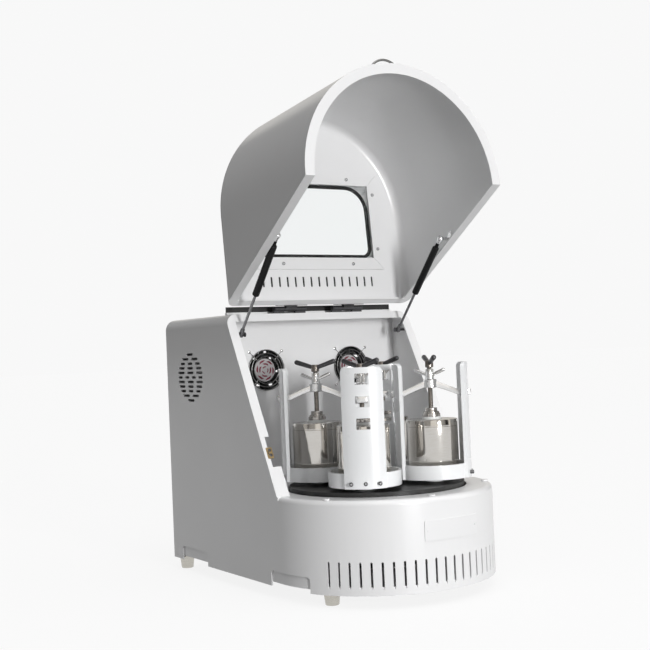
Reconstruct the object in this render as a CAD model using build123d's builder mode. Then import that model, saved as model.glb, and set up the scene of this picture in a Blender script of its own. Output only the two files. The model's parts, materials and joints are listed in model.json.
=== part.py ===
from build123d import *
from math import atan2, cos, degrees, hypot, radians, sin, sqrt, tan
import os

os.makedirs("parts", exist_ok=True)

# ------------------------------------------------------------------ driving sizes, millimetres
# Working frame: the turntable axis is the Z axis, the round front faces -Y, the floor is z = 0.

# Housing
half_width = 238.0            # half width of the housing, and radius of its round front
sheet = 3.0                   # painted steel sheet
skirt_gap = 25.0              # floor to the lower edge of the skirt
deck_z = 204.0                # top of the deck round the turntable
top_z = 575.0                 # top of the housing and of the closed lid
rear_y = 497.0                # outside of the rear panel
side_edge_radius = 25.0       # long top edges of the housing
deck_edge_radius = 10.0
deck_cap_height = 18.0        # rolled edge of the deck, down to the top of the skirt
slant_top_y = 195.0           # the slanted opening, at the top of the housing
slant_foot_y = 3.0            # and at the deck
lip_width = 21.0              # inward lips along the slanted opening and the lid's rim
lip_step_width = 9.0          # the lip is this much wider near the deck
lip_step_height = 57.0
keeper_recess = (59.0, 10.0)  # height and depth of the recess in the left lip, above the wide part
top_lip_height = 16.0
wall_y = 250.0                # front of the wall behind the chamber

# Openings in the skirt and the sides
notch_height = 31.0
notch_radius = 7.0
front_notch = (-85.0, 38.0)
rear_notch = (322.0, 450.0)
skirt_slot_count = 24
skirt_slot_pitch = 5.1        # degrees
skirt_slot_size = (51.0, 4.4)
skirt_slot_z = 63.0
vent_centre = (375.0, 442.0)
vent_rows = (                 # slots in each row, and their length
    (1, 33.0), (2, 33.0), (3, 25.0), (3, 30.0), (3, 33.0), (4, 21.0), (3, 33.0), (3, 30.0), (3, 25.0), (2, 33.0),
    (1, 33.0),
)
vent_row_pitch = 10.3
vent_slot_height = 5.6
vent_slot_gap = 13.0
rear_slot_grid = (30.0, 16.0, 9, 6)
rear_slot_size = (22.0, 5.0)

# Base and feet
base_thickness = 8.0
base_lift = 8.0               # base plate's underside above the lower edge of the skirt
tray_rise = 30.0              # turned-up edge of the base plate
tray_lap = 13.0               # it runs this far past the front notch
foot_radius_top = 17.0
foot_radius_floor = 13.5
front_foot = (half_width - 58.0, -95.0)
rear_foot = (half_width - 22.0, rear_y - 22.0)

# Name plate, blank, with its screws
plate_angles = (-13.0, 19.0)  # degrees from the front, towards +X
plate_z = (122.0, 160.0)
plate_thickness = 0.9
plate_gap = 0.5               # soft adhesive between the plate and the skirt
plate_screw_radius = 2.5
plate_screw_head = 0.8
plate_screw_inset = 1.7       # degrees

# Rest pads on the deck
pad_angles = (-60.0, -7.0, 60.0)
pad_height = 3.0
pad_radius = 7.0
pad_circle = half_width - 12.0

# Latch keeper on the left lip
keeper_rise = 84.0            # above the deck
keeper_shift = 2.0            # from the middle of the lip towards the chamber
keeper_size = (13.0, 24.0)
keeper_corner = 2.0
keeper_thickness = 1.4
keeper_studs = ((1.0, 6.0), (1.0, -5.0))
keeper_stud_radius = 3.0
keeper_stud_height = 0.8

# Fans
fan_x = half_width - 126.0
fan_z = 452.0
fan_size = 92.0
fan_depth = 25.0
fan_bore_radius = 44.8
fan_screw_pitch = 82.5
fan_hub_radius = 28.5
fan_corner_radius = 4.0
fan_strut_width = 4.0
fan_strut_depth = 3.0
fan_rotor_depth = 17.0
fan_tip_gap = 2.0
fan_rotor_lead = 1.0          # rotor's middle in front of the frame's
fan_blade_count = 7
fan_blade_thickness = 1.8
fan_blade_lean = 40.0         # degrees
fan_pin_radius = 3.0
guard_wire = 1.2
guard_ring_radii = (44.6, 37.5, 30.5)
guard_spoke_radius = 1.0
guard_spoke_lap = 2.0         # spokes run past the smallest ring
screw_radius = 2.0
screw_head_radius = 3.8

# Lid
lid_edge_radius = 20.0
seam_gap = 3.0                # lid to housing along the slanted opening
hinge_y = 198.0
hinge_z = 585.0
lid_opening = 96.0            # degrees, the photographed position
lid_slot_count = 15
lid_slot_pitch = 20.3
lid_slot_size = (23.0, 4.4)
lid_slot_y = 140.5
window_half_width = half_width - 91.0
window_y = (-78.0, 84.0)
window_front_radius = 55.0
window_rear_radius = 22.0
strip_reveal = 3.0            # strips' inner edge outside the window's edge
strip_width = 26.0
strip_thickness = 7.0
mitre_gap = 0.4
frame_screws = (
    (window_half_width - 55.5, window_y[1] + 17.0), (window_half_width + 16.0, window_y[1] - 18.0),
    (window_half_width + 16.0, window_y[0] + 17.0), (window_half_width - 52.0, window_y[0] - 17.0),
)
frame_screw_radius = 4.0
frame_screw_head = 1.5
pane_thickness = 3.0
pane_overlap = 18.0
gasket_width = 5.0
handle_span = 76.0
handle_rise = 23.0
handle_wire = 2.5
handle_z = 245.0

# Hinges
hinge_x = 75.0
hinge_length = 80.0
knuckle_radius = 5.5
web_margin = 1.0              # web of a leaf, past its barrel
hinge_pin_radius = 2.5
leaf_thickness = 2.5
leaf_length = 30.0
knuckle_share = 0.34          # middle knuckle's share of the hinge's length
seal_y = 231.0                # soft strip behind the hinges
seal_size = (2 * half_width - 46.0, 3.0, 12.0)
seal_seat = (9.0, 5.0)        # raised bead of the housing under it

# Gas struts
strut_x = half_width - 32.0
strut_low = (185.0, 531.0)    # lower pivot, y and z
strut_high = (78.3, 386.3)    # upper pivot on the closed lid, y and z
strut_cylinder_radius = 7.5
strut_wall = 1.5
strut_rod_radius = 3.0
strut_neck_radius = 4.0       # neck between the cylinder and its eye
strut_gland = 8.0
piston_length = 6.0
strut_cylinder_start = 107.0  # from the lower pivot, lid open
strut_cylinder_length = 128.0
strut_rod_overlap = 16.0      # rod inside the cylinder, lid open
eye_radius = 7.0
eye_half_width = 7.8          # wider than the cylinder, so that its pivots clear it
stud_head_radius = 5.0
stud_head = 2.0
stud_radius = 3.0
stud_base_radius = 7.0
stud_base_height = 5.0

# Turntable and stations
disc_radius = 182.0
disc_top = 212.0
disc_thickness = 14.0
disc_gap = 4.0
station_circle = 121.0
station_names = ("front", "right", "rear", "left")
station_start = 225.0         # degrees from +X, the front station
station_turn = 12.0           # degrees, crossbars off the radial line
tee_angles = (105.0, 66.0, 105.0, 122.0)    # degrees from +X, the way each handle points
wing_angles = (30.0, 120.0, 30.0, 125.0)
cup_floor_z = 221.0
cup_radius = 73.0
cup_wall = 5.0
cup_floor = 8.0
cup_rim_z = 250.0
seat_wall = 6.0               # ring that centres the jar in the cup
seat_height = 6.0
collar_radius = 18.0
upright_thickness = 5.0
upright_bite = 1.0            # the uprights' inner face, inside the cup's outer one
upright_width = 82.0
upright_top = 455.0
upright_corner = 10.0
window_size = (27.0, 21.5)
window_centres = (346.0, 389.0, 432.5)
foot_screw_pitch = 28.0
foot_screw_rise = 10.0
foot_screw_head = 0.8
jar_radius = 53.0
jar_wall = 5.0
jar_top = 340.0
jar_lid_height = 14.0
bar_width = 14.0
bar_end_height = 13.0
bar_end_width = 21.0
bar_end_length = 18.0
bar_knee = 0.66               # where a sloping arm ends, as a share of the reach
bar_hub_edge = 2.0            # arms meet the hub this far under its top
bar_hub_radius = 14.0
bar_hub_z = (404.0, 421.0)
bar_reach = 83.0
spindle_radius = 5.0
press_pad_radius = 19.5
press_pad_height = 5.0
press_foot_radius = 18.5
press_foot_z = (345.0, 355.0, 363.0)
press_neck_radius = 12.5
nut_z = (421.5, 443.0)
nut_radius = 9.0
nut_wing_reach = 34.0
nut_wing_rise = 14.0
nut_wing_radius = 3.4
nut_wing_lift = 3.0           # wings' root above the nut's lower face
tee_z = (446.0, 461.0)
tee_radius = 8.5
tee_reach = 48.0
tee_rise = 15.0
tee_arm_radius = 4.3

# Drive
post_radius = 9.0
post_x = half_width - 88.0
post_rows = (-90.0, 170.0, 420.0)
drive_plate_z = 74.0
drive_plate_thickness = 10.0
drive_plate_half_width = half_width - 68.0
drive_plate_y = (-120.0, 440.0)
main_shaft_radius = 15.0
main_shaft_bottom = 45.0
main_flange = (50.0, 10.0)
bearing_length = 16.0
bearing_relief = 2.0
neck_radius = 36.0
neck_top = 158.0
housing_flange = (65.0, 10.0)
belt_thickness = 3.0
belt_width = 9.0
belt_pitch = 14.0             # from one planet belt to the next
sun_pitch_radius = 58.0
planet_pitch_radius = 29.0
planet_shaft_radius = 10.0
planet_housing_radius = 33.0
planet_housing_height = 26.0
first_belt_z = 104.0
drive_belt_z = 57.0
driven_pitch_radius = 100.0
motor_pitch_radius = 40.0
motor_y = 340.0
motor_radius = 70.0
motor_top = 300.0
motor_shaft_radius = 9.5
motor_shaft_grip = 20.0
motor_terminal_box = (60.0, 40.0, 60.0)
motor_fin_count = 24
motor_fin_size = (4.0, 2.0)
motor_fin_share = 0.6         # fins' length as a share of the motor's
pulley_cheek = 2.0            # flange of a pulley: its thickness, and its rise above the belt
inverter_size = (140.0, 90.0, 150.0)
inverter_place = (-125.0, 275.0)
inlet_x = 150.0
inlet_z = 120.0
inlet_size = (50.0, 60.0)
inlet_depth = 30.0
inlet_flange = 3.0
inlet_flange_rim = 4.0
socket_size = (26.0, 20.0, 18.0)
socket_pin_size = (2.0, 16.0, 5.0)
socket_pin_places = (-7.0, 0.0, 7.0)
rocker_radius = 9.0
rocker_length = 16.0
rocker_rise = 15.0            # rocker's axis above the middle of the inlet
rocker_depth = 7.0            # and behind its face
rocker_crown = 6.0            # rocker's crown, from its axis
rocker_tilt = 10.0            # degrees either side of the middle

# Clearances
run_clear = 0.05              # radial, shaft in its bore
free_clear = 0.3              # between surfaces of different moving bodies
belt_clear = 0.4

# ------------------------------------------------------------------ values that follow
inner_half_width = half_width - sheet
base_z = skirt_gap + base_lift
base_top = base_z + base_thickness
drive_plate_top = drive_plate_z + drive_plate_thickness
rim_z = deck_z + pad_height
slant_rise = top_z - deck_z
slant_run = slant_top_y - slant_foot_y
slant_length = hypot(slant_rise, slant_run)
cap_bottom = deck_z - deck_cap_height
panel_under = top_z - sheet
disc_bottom = disc_top - disc_thickness
front_reach = half_width + plate_gap + plate_thickness
rear_reach = rear_y + inlet_flange
far = 2 * (half_width + rear_y)     # longer than any piece, for cuts right through

# The part's frame has its origin on the floor, midway between the front-most and rear-most points.
to_part_frame = Location((0, (front_reach - rear_reach) / 2, 0))
hinge_axis = Axis((0, hinge_y, hinge_z), (1, 0, 0))
swing_open = (
    Location((0, hinge_y, hinge_z)) * Location((0, 0, 0), (-lid_opening, 0, 0)) * Location((0, -hinge_y, -hinge_z))
)


def save(piece, name, swing=Location()):
    """Write one finished piece as parts/NAME.step, in the part's frame."""
    piece.part = to_part_frame * (swing * piece.part)
    piece.part.label = name
    export_step(piece.part, f"parts/{name}.step")


def slant_y(height, behind=0.0):
    """The slanted opening's y at a height, moved square to itself by the distance behind."""
    along = (height - deck_z) * slant_run / slant_rise
    return slant_foot_y + along + behind * slant_length / slant_rise


def radial_plane(angle):
    """Upright plane through the Z axis; angle in degrees from the front, towards +X."""
    a = radians(angle)
    return Plane(origin=(0, 0, 0), x_dir=(sin(a), -cos(a), 0), z_dir=(-cos(a), -sin(a), 0))


def facing_plane(angle, radius, height):
    """Upright plane that faces outwards from the Z axis, at a radius and height."""
    a = radians(angle)
    return Plane(
        origin=(radius * sin(a), -radius * cos(a), height), x_dir=(cos(a), sin(a), 0), z_dir=(sin(a), -cos(a), 0)
    )


def wall_plane(y):
    """Plane that faces -Y, with X and Z as its own x and y."""
    return Plane.XZ.offset(-y)


# ------------------------------------------------------------------ housing
def housing_profile(inset):
    """Side view of the housing's cover, for the outside (0) or the hollow inside it (sheet)."""
    if inset:
        return [
            (-sheet, skirt_gap - sheet), (rear_y + sheet, skirt_gap - sheet), (rear_y + sheet, top_z - inset),
            (slant_y(top_z - inset, inset), top_z - inset), (slant_y(deck_z, inset), deck_z), (-sheet, deck_z),
        ]
    return [(0, skirt_gap), (rear_y, skirt_gap), (rear_y, top_z), (slant_top_y, top_z), (slant_foot_y, deck_z),
            (0, deck_z)]


with BuildPart() as housing_hollow:
    with BuildSketch(Plane.YZ):
        with BuildLine():
            Polyline(*housing_profile(sheet), close=True)
        make_face()
    extrude(amount=inner_half_width, both=True)
    fillet(housing_hollow.edges().filter_by(Axis.Y).group_by(Axis.Z)[-1], side_edge_radius - sheet)

with BuildPart() as fork_notches:
    with BuildSketch(Plane.YZ) as notch_outline:
        for start, end in (front_notch, rear_notch):
            with Locations(((start + end) / 2, skirt_gap)):
                Rectangle(end - start, 2 * notch_height)
        fillet(notch_outline.vertices().group_by(Axis.Y)[-1], notch_radius)
    extrude(amount=far, both=True)

with BuildPart() as housing_cover:
    with BuildSketch(Plane.YZ):
        with BuildLine():
            Polyline(*housing_profile(0), close=True)
        make_face()
    extrude(amount=half_width, both=True)
    fillet(housing_cover.edges().filter_by(Axis.Y).group_by(Axis.Z)[-1], side_edge_radius)
    add(housing_hollow.part, mode=Mode.SUBTRACT)
    step_top = deck_z + lip_step_height
    for low, high, reach in (
        (deck_z, step_top, half_width - lip_width - lip_step_width),
        (step_top, top_z - top_lip_height, half_width - lip_width),
    ):
        with BuildSketch(Plane.YZ):
            with BuildLine():
                Polyline((-sheet, low), (wall_y, low), (wall_y, high), (-sheet, high), close=True)
            make_face()
        extrude(amount=reach, both=True, mode=Mode.SUBTRACT)
    with Locations((-(half_width - lip_width), 0, step_top)):
        Box(
            keeper_recess[1], 2 * wall_y, keeper_recess[0], align=(Align.MAX, Align.CENTER, Align.MIN),
            mode=Mode.SUBTRACT,
        )
    with Locations((0, seal_y + seal_size[1] / 2, top_z)):
        Box(seal_size[0], *seal_seat, align=(Align.CENTER, Align.CENTER, Align.MIN))
    add(fork_notches.part, mode=Mode.SUBTRACT)
    with BuildSketch(Plane.YZ):
        for row, (count, length) in enumerate(vent_rows):
            height = vent_centre[1] + (row - (len(vent_rows) - 1) / 2) * vent_row_pitch
            with Locations((vent_centre[0], height)):
                with GridLocations(length + vent_slot_gap, 1, count, 1):
                    SlotOverall(length, vent_slot_height)
    extrude(amount=far, both=True, mode=Mode.SUBTRACT)
save(housing_cover, "housing_cover")

with BuildPart() as front_skirt:
    with BuildSketch(radial_plane(-90)):
        with Locations((half_width - sheet / 2, (skirt_gap + cap_bottom) / 2)):
            Rectangle(sheet, cap_bottom - skirt_gap)
    revolve(axis=Axis.Z, revolution_arc=180)
    add(fork_notches.part, mode=Mode.SUBTRACT)
    for slot in range(skirt_slot_count):
        slot_angle = (slot - (skirt_slot_count - 1) / 2) * skirt_slot_pitch
        with BuildSketch(facing_plane(slot_angle, half_width, skirt_slot_z)):
            SlotOverall(*skirt_slot_size, rotation=90)
        extrude(amount=2 * sheet, both=True, mode=Mode.SUBTRACT)
save(front_skirt, "front_skirt")

with BuildPart() as deck_plate:
    with BuildSketch(radial_plane(-90)):
        with BuildLine():
            outer, inner = half_width, inner_half_width
            flat, turn = half_width - deck_edge_radius, deck_edge_radius - sheet
            Line((0, deck_z), (flat, deck_z))
            RadiusArc((flat, deck_z), (outer, deck_z - deck_edge_radius), deck_edge_radius)
            Polyline(
                (outer, deck_z - deck_edge_radius), (outer, cap_bottom), (inner, cap_bottom),
                (inner, deck_z - deck_edge_radius),
            )
            RadiusArc((inner, deck_z - deck_edge_radius), (flat, deck_z - sheet), -turn)
            Polyline((flat, deck_z - sheet), (0, deck_z - sheet), (0, deck_z))
        make_face()
    revolve(axis=Axis.Z, revolution_arc=180)
    with BuildSketch(Plane.XY.offset(deck_z)):
        with Locations((0, (wall_y + sheet) / 2)):
            Rectangle(2 * inner_half_width, wall_y + sheet)
    extrude(amount=-sheet)
    with BuildSketch(Plane.XY.offset(deck_z)):
        Circle(disc_radius + disc_gap)
    extrude(amount=-2 * sheet, mode=Mode.SUBTRACT)
    for pad_angle in pad_angles:
        with BuildSketch(Plane.XY.offset(deck_z)):
            with Locations((pad_circle * sin(radians(pad_angle)), -pad_circle * cos(radians(pad_angle)))):
                Circle(pad_radius)
        extrude(amount=pad_height)
save(deck_plate, "deck_plate")

with BuildPart() as back_wall:
    with BuildSketch(wall_plane(wall_y + sheet)) as wall_face:
        with Locations((0, (deck_z + panel_under) / 2)):
            Rectangle(2 * inner_half_width, panel_under - deck_z)
        fillet(wall_face.vertices().group_by(Axis.Z)[-1], side_edge_radius - sheet)
        with Locations((-fan_x, fan_z), (fan_x, fan_z)):
            Circle(fan_bore_radius, mode=Mode.SUBTRACT)
            with GridLocations(fan_screw_pitch, fan_screw_pitch, 2, 2):
                Circle(screw_radius + run_clear, mode=Mode.SUBTRACT)
    extrude(amount=sheet)
save(back_wall, "back_wall")

with BuildPart() as rear_panel:
    with BuildSketch(wall_plane(rear_y)) as rear_face:
        with Locations((0, (skirt_gap + panel_under) / 2)):
            Rectangle(2 * inner_half_width, panel_under - skirt_gap)
        fillet(rear_face.vertices().group_by(Axis.Z)[-1], side_edge_radius - sheet)
        with Locations((inlet_x, inlet_z)):
            Rectangle(inlet_size[0], inlet_size[1], mode=Mode.SUBTRACT)
        with Locations((0, fan_z)):
            with GridLocations(*rear_slot_grid):
                SlotOverall(*rear_slot_size, mode=Mode.SUBTRACT)
    extrude(amount=sheet)
save(rear_panel, "rear_panel")

with BuildPart() as base_frame:
    with BuildSketch(Plane.XY.offset(base_z)):
        Circle(inner_half_width)
        with Locations((0, (rear_y - sheet) / 2)):
            Rectangle(2 * inner_half_width, rear_y - sheet)
    extrude(amount=base_thickness)
    with BuildSketch(Plane.XY.offset(base_z)):
        for inset, mode in ((0, Mode.ADD), (sheet, Mode.SUBTRACT)):
            Circle(inner_half_width - inset, mode=mode)
            with Locations((0, (rear_y - sheet) / 2)):
                Rectangle(2 * (inner_half_width - inset), rear_y - sheet, mode=mode)
        with Locations((0, front_notch[0] - tray_lap)):
            Rectangle(far, far, align=(Align.CENTER, Align.MAX), mode=Mode.SUBTRACT)
    extrude(amount=base_thickness + tray_rise)
    for post_y in post_rows:
        with Locations((post_x, post_y, base_top), (-post_x, post_y, base_top)):
            Cylinder(post_radius, drive_plate_z - base_top, align=(Align.CENTER, Align.CENTER, Align.MIN))
    with BuildSketch(Plane.XY.offset(drive_plate_z)):
        with Locations((0, sum(drive_plate_y) / 2)):
            RectangleRounded(2 * drive_plate_half_width, drive_plate_y[1] - drive_plate_y[0], notch_radius)
        Circle(neck_radius, mode=Mode.SUBTRACT)
        with Locations((0, motor_y)):
            Circle(2 * motor_shaft_radius, mode=Mode.SUBTRACT)
    extrude(amount=drive_plate_thickness)
save(base_frame, "base_frame")

with BuildPart() as feet:
    for foot_x, foot_y in (front_foot, rear_foot):
        with Locations((foot_x, foot_y, 0), (-foot_x, foot_y, 0)):
            Cone(foot_radius_floor, foot_radius_top, base_z, align=(Align.CENTER, Align.CENTER, Align.MIN))
save(feet, "feet")

with BuildPart() as nameplate:
    with BuildSketch(radial_plane(plate_angles[0])):
        with Locations((half_width + plate_gap + plate_thickness / 2, sum(plate_z) / 2)):
            Rectangle(plate_thickness, plate_z[1] - plate_z[0])
    revolve(axis=Axis.Z, revolution_arc=plate_angles[1] - plate_angles[0])
    for screw_angle in (plate_angles[0] + plate_screw_inset, plate_angles[1] - plate_screw_inset):
        screw_base = facing_plane(screw_angle, half_width + plate_gap + plate_thickness / 2, sum(plate_z) / 2)
        with BuildSketch(screw_base):
            Circle(plate_screw_radius)
        extrude(amount=plate_thickness / 2 + plate_screw_head)
save(nameplate, "nameplate")

with BuildPart() as latch_keeper:
    keeper_z = deck_z + keeper_rise
    keeper_plane = Plane(
        origin=(-(half_width - lip_width / 2 - keeper_shift), slant_y(keeper_z), keeper_z), x_dir=(1, 0, 0),
        z_dir=(0, -slant_rise, slant_run),
    )
    with BuildSketch(keeper_plane):
        RectangleRounded(*keeper_size, keeper_corner)
    extrude(amount=keeper_thickness)
    with BuildSketch(keeper_plane.offset(keeper_thickness)):
        with Locations(*keeper_studs):
            Circle(keeper_stud_radius)
    extrude(amount=keeper_stud_height)
save(latch_keeper, "latch_keeper")

# ------------------------------------------------------------------ fans in the chamber's wall
with BuildPart() as fan_frames:
    for side in (-1, 1):
        frame_front = wall_plane(wall_y + sheet + fan_depth)
        with BuildSketch(frame_front):
            with Locations((side * fan_x, fan_z)):
                RectangleRounded(fan_size, fan_size, fan_corner_radius)
                Circle(fan_bore_radius, mode=Mode.SUBTRACT)
        extrude(amount=fan_depth)
        with BuildSketch(frame_front):
            with Locations((side * fan_x, fan_z)):
                Circle(fan_hub_radius)
                Rectangle(2 * fan_bore_radius, fan_strut_width)
                Rectangle(fan_strut_width, 2 * fan_bore_radius)
        extrude(amount=fan_strut_depth)
        with BuildSketch(frame_front):
            with Locations((side * fan_x, fan_z)):
                Circle(fan_pin_radius)
        extrude(amount=fan_depth / 2)
save(fan_frames, "fan_frames")

for side, side_name in ((-1, "left"), (1, "right")):
    rotor_plane = Plane(
        origin=(side * fan_x, wall_y + sheet + fan_depth / 2 - fan_rotor_lead, fan_z), x_dir=(1, 0, 0),
        z_dir=(0, -1, 0),
    )
    with BuildPart() as fan_rotor:
        with Locations(rotor_plane):
            Cylinder(fan_hub_radius, fan_rotor_depth)
            blade_length = fan_bore_radius - fan_hub_radius
            with PolarLocations(fan_bore_radius - fan_tip_gap - blade_length / 2, fan_blade_count):
                Box(blade_length, fan_blade_thickness, fan_rotor_depth, rotation=(fan_blade_lean, 0, 0))
        with Locations(rotor_plane.offset(-fan_rotor_depth / 2)):
            Cylinder(
                fan_pin_radius + run_clear, fan_depth / 2, align=(Align.CENTER, Align.CENTER, Align.MIN),
                mode=Mode.SUBTRACT,
            )
    save(fan_rotor, f"fan_rotor_{side_name}")

spoke_reach = fan_screw_pitch / 2 * sqrt(2)
spoke_length = spoke_reach - guard_ring_radii[-1] + guard_spoke_lap
with BuildPart() as fan_guards:
    for side in (-1, 1):
        guard_plane = Plane(
            origin=(side * fan_x, wall_y - guard_wire, fan_z), x_dir=(1, 0, 0), z_dir=(0, -1, 0)
        )
        with Locations(guard_plane):
            with PolarLocations(spoke_reach - spoke_length / 2, 4, start_angle=45):
                Cylinder(guard_spoke_radius, spoke_length, rotation=(0, 90, 0))
            with PolarLocations(spoke_reach, 4, start_angle=45):
                Cylinder(screw_head_radius, 2 * guard_wire)
                Cylinder(screw_radius, 2 * (guard_wire + sheet))
        with Locations(guard_plane.offset(1.5 * guard_wire)):
            for ring_radius in guard_ring_radii:
                Torus(ring_radius, guard_wire)
save(fan_guards, "fan_guards")

# ------------------------------------------------------------------ lid, modelled closed and swung open
def lid_outline(radius, rear):
    """Round-fronted outline of the lid, seen from above."""
    with BuildSketch(mode=Mode.PRIVATE) as outline:
        with BuildLine():
            ThreePointArc((-radius, 0), (0, -radius), (radius, 0))
            Polyline((radius, 0), (radius, rear), (-radius, rear), (-radius, 0))
        make_face()
    return outline.sketch


def window_outline(inset):
    """The window's rounded outline, drawn in by a distance."""
    with BuildSketch(mode=Mode.PRIVATE) as outline:
        with Locations((0, sum(window_y) / 2)):
            Rectangle(2 * (window_half_width - inset), window_y[1] - window_y[0] - 2 * inset)
        fillet(outline.vertices().group_by(Axis.Y)[0], window_front_radius - inset)
        fillet(outline.vertices().group_by(Axis.Y)[-1], window_rear_radius - inset)
    return outline.sketch


with BuildPart() as behind_slant:
    with BuildSketch(Plane.YZ):
        with BuildLine():
            Polyline(
                (slant_y(0, -seam_gap), 0), (slant_y(far, -seam_gap), far), (far, far), (far, 0), close=True
            )
        make_face()
    extrude(amount=far, both=True)

with BuildPart() as lid_hollow:
    with BuildSketch(Plane.XY.offset(rim_z + sheet)):
        add(lid_outline(inner_half_width, slant_top_y))
    extrude(amount=panel_under - rim_z - sheet)
    hollow_top = lid_hollow.faces().sort_by(Axis.Z)[-1]
    fillet(hollow_top.edges().filter_by(Axis.X, reverse=True), lid_edge_radius - sheet)
    add(Location((0, -sheet * slant_length / slant_rise, 0)) * behind_slant.part, mode=Mode.SUBTRACT)

with BuildPart() as lid_shell:
    with BuildSketch(Plane.XY.offset(rim_z)):
        add(lid_outline(half_width, slant_top_y))
    extrude(amount=top_z - rim_z)
    shell_top = lid_shell.faces().sort_by(Axis.Z)[-1]
    fillet(shell_top.edges().filter_by(Axis.X, reverse=True), lid_edge_radius)
    add(behind_slant.part, mode=Mode.SUBTRACT)
    add(lid_hollow.part, mode=Mode.SUBTRACT)
    with BuildSketch(Plane.XY.offset(rim_z - sheet)):
        add(lid_outline(half_width - lip_width, slant_top_y))
    extrude(amount=top_z - top_lip_height - rim_z + sheet, mode=Mode.SUBTRACT)
    with BuildSketch(Plane.XY.offset(top_z)):
        add(window_outline(0))
        with Locations((0, lid_slot_y)):
            with GridLocations(lid_slot_pitch, 1, lid_slot_count, 1):
                SlotOverall(*lid_slot_size, rotation=90)
    extrude(amount=-2 * sheet, mode=Mode.SUBTRACT)
save(lid_shell, "lid_shell", swing_open)

with BuildPart() as window_gasket:
    with BuildSketch(Plane.XY.offset(panel_under)):
        add(window_outline(0))
        add(window_outline(gasket_width), mode=Mode.SUBTRACT)
    extrude(amount=sheet)
save(window_gasket, "window_gasket", swing_open)

pane_front = window_y[0] - pane_overlap
pane_rear = window_y[1] + pane_overlap
with BuildPart() as lid_window:
    with BuildSketch(Plane.XY.offset(panel_under)):
        with Locations((0, (pane_front + pane_rear) / 2)):
            Rectangle(2 * (window_half_width + pane_overlap), pane_rear - pane_front)
    extrude(amount=-pane_thickness)

strip_inner = (window_half_width + strip_reveal, window_y[0] - strip_reveal, window_y[1] + strip_reveal)
strip_outer = (strip_inner[0] + strip_width, strip_inner[1] - strip_width, strip_inner[2] + strip_width)
with BuildPart() as window_frame:
    with BuildSketch(Plane.XY.offset(panel_under)):
        for (reach, front, rear), mode in ((strip_outer, Mode.ADD), (strip_inner, Mode.SUBTRACT)):
            with Locations((0, (front + rear) / 2)):
                Rectangle(2 * reach, rear - front, mode=mode)
        for side in (-1, 1):
            for corner_y, lean in ((strip_inner[1], side), (strip_inner[2], -side)):
                with Locations((side * strip_inner[0], corner_y)):
                    Rectangle(3 * strip_width, mitre_gap, rotation=-45 * lean, mode=Mode.SUBTRACT)
    extrude(amount=-strip_thickness)
    add(lid_window.part, mode=Mode.SUBTRACT)
    with BuildSketch(Plane.XY.offset(panel_under - strip_thickness)):
        for screw_x, screw_y in frame_screws:
            with Locations((screw_x, screw_y), (-screw_x, screw_y)):
                Circle(frame_screw_radius)
    extrude(amount=-frame_screw_head)
save(window_frame, "window_frame", swing_open)
save(lid_window, "lid_window", swing_open)

with BuildPart() as lid_handle:
    half_span = handle_span / 2
    bow_start = (-half_span, -sqrt(half_width**2 - half_span**2) + 2 * handle_wire, handle_z)
    bow_end = (half_span, bow_start[1], handle_z)
    with BuildLine() as bow:
        ThreePointArc(bow_start, (0, -half_width - handle_rise + handle_wire, handle_z), bow_end)
    with BuildSketch(Plane(origin=bow.line @ 0, z_dir=bow.line % 0)):
        Circle(handle_wire)
    sweep()
    with Locations((0, 0, handle_z)):
        Cylinder(half_width, 8 * handle_wire, mode=Mode.SUBTRACT)
save(lid_handle, "lid_handle", swing_open)

# ------------------------------------------------------------------ hinges of the lid
middle_knuckle = hinge_length * knuckle_share
outer_knuckle = (hinge_length - middle_knuckle) / 2 - free_clear
outer_centre = (middle_knuckle + outer_knuckle) / 2 + free_clear
knuckle_drop = hinge_z - top_z
web_width = knuckle_radius + web_margin


def knuckles(centre_x, offsets, length, bore):
    """Hinge barrels about the lid's axis, bored for the pin."""
    barrels = Part()
    for along in offsets:
        spot = Location((centre_x + along, hinge_y, hinge_z), (0, 90, 0))
        barrels += spot * Cylinder(knuckle_radius, length, mode=Mode.PRIVATE)
        if bore:
            barrels -= spot * Cylinder(bore, length + 1, mode=Mode.PRIVATE)
    return barrels


with BuildPart() as hinge_fixed_leaves:
    for centre_x in (-hinge_x, hinge_x):
        with Locations((centre_x, hinge_y + knuckle_radius, top_z)):
            Box(
                hinge_length, leaf_length - web_width, leaf_thickness,
                align=(Align.CENTER, Align.MIN, Align.MIN),
            )
        for along in (-outer_centre, outer_centre):
            with Locations((centre_x + along, hinge_y, top_z)):
                Box(outer_knuckle, web_width, knuckle_drop, align=(Align.CENTER, Align.MIN, Align.MIN))
        add(knuckles(centre_x, (-outer_centre, outer_centre), outer_knuckle, 0))
        with Locations(Location((centre_x, hinge_y, hinge_z), (0, 90, 0))):
            Cylinder(hinge_pin_radius, hinge_length)
save(hinge_fixed_leaves, "hinge_fixed_leaves")

with BuildPart() as hinge_lid_leaves:
    for centre_x in (-hinge_x, hinge_x):
        with Locations((centre_x, hinge_y - knuckle_radius, top_z)):
            Box(
                hinge_length, leaf_length - web_width, leaf_thickness,
                align=(Align.CENTER, Align.MAX, Align.MIN),
            )
        with Locations((centre_x, hinge_y, top_z + free_clear)):
            Box(middle_knuckle, web_width, knuckle_drop - free_clear, align=(Align.CENTER, Align.MAX, Align.MIN))
        add(knuckles(centre_x, (0,), middle_knuckle, 0))
        with Locations(Location((centre_x, hinge_y, hinge_z), (0, 90, 0))):
            Cylinder(hinge_pin_radius + run_clear, hinge_length, mode=Mode.SUBTRACT)
save(hinge_lid_leaves, "hinge_lid_leaves", swing_open)

with BuildPart() as hinge_seal:
    with Locations((0, seal_y, top_z + seal_seat[1])):
        Box(*seal_size, align=(Align.CENTER, Align.MIN, Align.MIN))
save(hinge_seal, "hinge_seal")

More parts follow.
